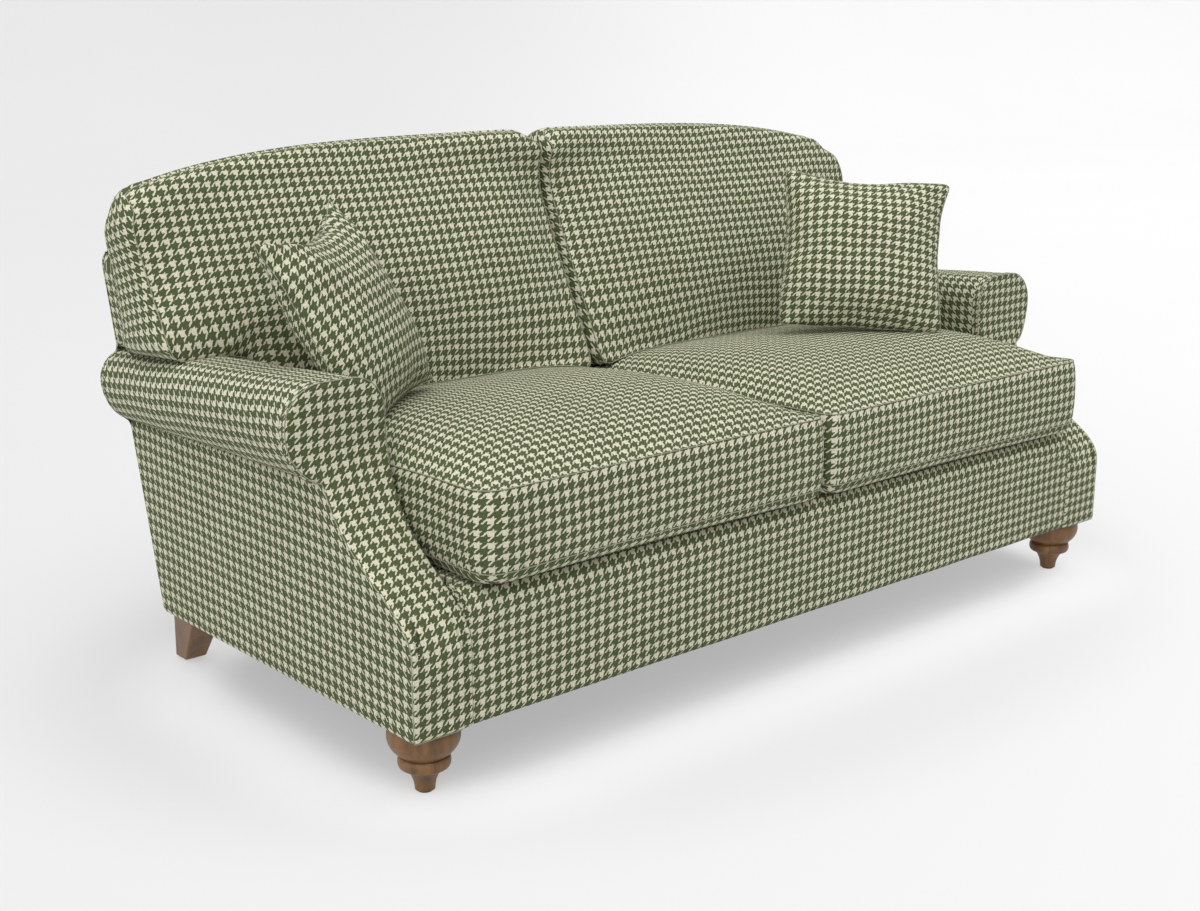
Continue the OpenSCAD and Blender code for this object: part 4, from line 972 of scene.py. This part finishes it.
def lathe(prof, cx, cy):
    """A profile of radius and height, turned about an upright axis."""
    s = Shape()
    sides = 72
    a = np.linspace(0, 2 * math.pi, sides, endpoint=False)
    rows = [np.c_[cx + r * np.cos(a), cy + r * np.sin(a), np.full(sides, z)] for r, z in prof]
    L = arc_len(prof, False)
    uv = [np.c_[np.linspace(0, 200, sides + 1), np.full(sides + 1, l)] for l in L]
    s.grid(np.array(rows), uv, True)
    return s


def front_foot(side):
    """A turned foot: a glide's seat, a cove, a ring and a cut-off ball."""
    t = np.linspace(0, 1, 18)
    cove = np.c_[bez(16, 17, 25, 31, t), bez(3.2, 23, 34, 40, t)]
    a = np.radians(np.linspace(-90, 90, 14))
    ring = np.c_[37 + 5 * np.cos(a), 51 + 10 * np.sin(a)]
    z = np.linspace(62, FOOT - 0.2, 26)
    ball = np.c_[58 * np.sqrt(1 - ((z - 95) / 43.7) ** 2), z]
    prof = np.r_[[[0.1, 3.2], [14, 3.2]], cove, [[33, 40.4]], ring, [[36.5, 61.6]], ball, [[0.1, FOOT - 0.2]]]
    return lathe(prof, side * FRONT_AT[0], FRONT_AT[1])


def rear_foot(side):
    """A square, raked foot with eased edges."""
    s = Shape()
    rows, uvs = [], []
    lo = np.array([[815, 802], [858, 802], [858, 843], [815, 843.0]])
    hi = np.array([[822, 712], [884, 712], [884, 788], [822, 788.0]])

    def ring(k, inset):
        q = lo * (1 - k) + hi * k
        c = q.mean(0)
        out = []
        for i in range(4):
            a, b = q[i], q[(i + 1) % 4]
            d = (b - a) / np.hypot(*(b - a))
            for f in (3.0, 4.5, 10.0):
                out.append(a + d * f)
            out.append((a + b) / 2)
            for f in (10.0, 4.5, 3.0):
                out.append(b - d * f)
            ahead = q[(i + 2) % 4] - b
            out.append(b - 1.1 * d + 1.1 * ahead / np.hypot(*ahead))
        out = np.array(out)
        return c + (out - c) * (1 - inset)

    foot_end = [(0, 1.0), (0, 0.3), (0, 0.1), (0.006, 0.03), (0.02, 0)]
    for k, inset in foot_end + [(x, 0) for x in np.linspace(0.08, 1, 12)] + [(1, 1.0)]:
        p = ring(k, min(inset, 0.98))
        rows.append(np.c_[side * p[:, 0], p[:, 1], np.full(len(p), 3.2 + 109.6 * k)])
        uvs.append(np.c_[np.linspace(0, 200, len(p) + 1), np.full(len(p) + 1, 110 * k)])
    s.grid(np.array(rows), uvs, True, flip=side < 0)
    return s


# ---------------------------------------------------------------- putting it together
PAIR = {-1: "left", 1: "right"}


def dress(o, body, nodes):
    """Puts an object on its body in place of CAD nodes."""
    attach(o, body)
    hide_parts(*nodes)


for side, word in PAIR.items():
    dress(facing(side).make("facing_" + word, [check, seam_mat]), "frame", ["arm_facing_" + word])
    dress(cover(side).make("arm_" + word, [check]), "frame", ["arm_cover_" + word])
    dress(outside_arm(side).make("side_" + word, [check]), "frame", ["outside_arm_" + word])
    dress(seat_cushion(side).make("seat_pad_" + word, [check, check_side, seam_mat]), "seat_" + word,
          ["seat_cushion_" + word])
    dress(back_cushion(side).make("back_pad_" + word, [check, check_side, seam_mat]), "back_" + word,
          ["back_cushion_" + word])
    dress(front_foot(side).make("front_foot_" + word, [foot_wood]), "frame", ["foot_front_" + word])
    dress(rear_foot(side).make("rear_foot_" + word, [foot_wood]), "frame", ["foot_rear_" + word])

dress(border().make("front_band", [check]), "frame", ["front_border"])
dress(outside_back().make("rear_panel", [check]), "frame", ["outside_back"])
dress(inside_back().make("back_lining", [check]), "frame", ["inside_back"])


# middle; turn, lean and roll in degrees; seed; then draws, tips and blunt as in scatter
LIE = {
    "left": ([-668, 488, 674.0], 34.7, 29.2, 3.9, 4, (8, 14, 34, -4), ((-10, 0), (0, 0), (6, 27), (-11, 4)), 1),
    "right": ([527, 362, 694.0], -40.8, 24.4, -3.9, 7, (6, 18, 26, 8), ((0, 0), (-6, 10), (8, -14), (0, 0)), 5),
}
for word, body in (("left", "scatter_a"), ("right", "scatter_b")):
    dress(scatter(*LIE[word]).make("scatter_pad_" + word, [check_scatter, seam_mat]), body,
          ["scatter_" + word])

# the CAD nodes that stay, by their slots
LOOK = {
    "frame_timber": beech, "spring_steel": steel, "clip_plastic": plastic, "webbing": web_mat,
    "platform_cloth": lining, "dust_cloth": dust, "zinc_steel": steel, "glide_plastic": plastic,
}
for sub in frame["record"]["subparts"]:
    mat = LOOK.get(sub["material_slot"])
    if mat:
        for sl in NODES[sub["node"]].material_slots:
            sl.material = mat

# ---------------------------------------------------------------- stage, lights and camera
REAR, BEND, TALL = 9000, 6000, 26000  # where the floor ends, the radius it turns up by, and the wall's height
stage = Shape()
prof = np.r_[[[-12000, 0], [REAR, 0]], arc(REAR, BEND, BEND, BEND, 270, 360, 24), [[REAR + BEND, TALL]]]
L = arc_len(prof, False)
xs = np.linspace(-30000, 60000, 3)
stage.grid([np.c_[np.full(len(prof), x), prof] for x in xs], [np.c_[np.full(len(prof), x), L] for x in xs])


def floor_build(n, b):
    """Pale floor that glows for the camera, painted light that keeps the sofa's shadow pale, and a little brighter to
    the right.
    """
    co = n.xyz(n.new("ShaderNodeTexCoord").outputs["Object"])
    f = n.noise(n.vec(*co), 0.5, 1.0)
    n.put(b.inputs["Base Color"], n.mix(f, lin(164, 164, 165), lin(167, 167, 167)))
    side = n.m("MULTIPLY_ADD", co[0], 0.74, n.m("MULTIPLY_ADD", co[1], -0.66, 0.5))
    glow = n.ease(side, -2.4, 3.2, 0.275, 0.42)
    seen = n.new("ShaderNodeLightPath").outputs["Is Camera Ray"]
    far = n.m("ADD", n.m("POWER", n.m("DIVIDE", co[0], 1.15), 2.0), n.m("POWER", n.m("DIVIDE", co[1], 0.8), 2.0))
    # painted light: the floor glows more away from the sofa, where its shadow ends
    open_floor = n.ease(far, 0.75, 1.5, 0.03, 0.085)
    # how far outside the rounded outline of the sofa on the floor
    qx = n.m("MAXIMUM", n.m("SUBTRACT", n.m("ABSOLUTE", co[0]), 0.64), 0.0)
    qy = n.m("MAXIMUM", n.m("SUBTRACT", n.m("ABSOLUTE", n.m("ADD", co[1], 0.07)), 0.14), 0.0)
    out = n.m("SUBTRACT", n.m("SQRT", n.m("ADD", n.m("MULTIPLY", qx, qx), n.m("MULTIPLY", qy, qy))), 0.26)
    # painted light: a glowing paler ring along it, and a little more glow under the sofa than away from it
    ring = n.m("SUBTRACT", n.ease(out, -0.06, 0.04, 0.0, 0.11), n.ease(out, 0.04, 0.22, 0.0, 0.11))
    edge = n.m("ADD", ring, n.ease(out, 0.0, 0.3, 0.035, -0.015))
    shown = n.m("MULTIPLY", seen, n.m("ADD", n.m("ADD", glow, open_floor), edge))
    # the floor also glows evenly for every other ray, painted light on the sofa from below
    n.put(b.inputs["Emission Strength"], n.m("MAXIMUM", shown, 0.3))
    b.inputs["Emission Color"].default_value = (1, 1, 1, 1)


floor = stage.make("stage_floor", [material("stage_white", floor_build, Roughness=0.9, Specular_IOR_Level=0.0)])

# a white world, brighter to the left; the camera sees it plain
world = bpy.data.worlds.new("studio")
scene.world = world
world.use_nodes = True
wn, ground = Nodes(world.node_tree), world.node_tree.nodes["Background"]
ground.inputs[0].default_value = (1, 1, 1, 1)
way = wn.new("ShaderNodeVectorMath", operation="DOT_PRODUCT")
wn.put(way.inputs[0], wn.new("ShaderNodeTexCoord").outputs["Generated"])
way.inputs[1].default_value = Vector((-1.0, -0.35, 0.1)).normalized()
glow = wn.m("POWER", wn.m("MAXIMUM", way.outputs["Value"], 0.0), 1.6)
light = wn.m("MULTIPLY_ADD", glow, 1.25, 0.385)
seen = wn.new("ShaderNodeLightPath").outputs["Is Camera Ray"]
lit = wn.m("MULTIPLY", light, wn.m("SUBTRACT", 1.0, seen))
wn.put(ground.inputs[1], wn.m("ADD", lit, wn.m("MULTIPLY", seen, 0.95)))


def sun(name, towards, power, angle):
    """A wide soft light, even over the whole floor."""
    d = bpy.data.lights.new(name, "SUN")
    d.energy, d.angle = power, math.radians(angle)
    o = bpy.data.objects.new(name, d)
    o.rotation_euler = (-Vector(towards)).to_track_quat("-Z", "Y").to_euler()
    scene.collection.objects.link(o)


sun("overhead", (0.0, -0.25, 1.0), 2.15, 75)

# the camera as fitted to the photograph
cam = bpy.data.cameras.new("camera")
cam.sensor_width, cam.lens = 36.0, 50.0
camera = bpy.data.objects.new("camera", cam)
camera.location = (-2.2086, -2.3744, 1.1493)
yaw, pitch = math.radians(41.34), math.radians(14.39)
look = Vector((math.sin(yaw) * math.cos(pitch), math.cos(yaw) * math.cos(pitch), -math.sin(pitch)))
camera.rotation_euler = look.to_track_quat("-Z", "Y").to_euler()
scene.collection.objects.link(camera)
scene.camera = camera
scene.view_settings.view_transform = "Standard"
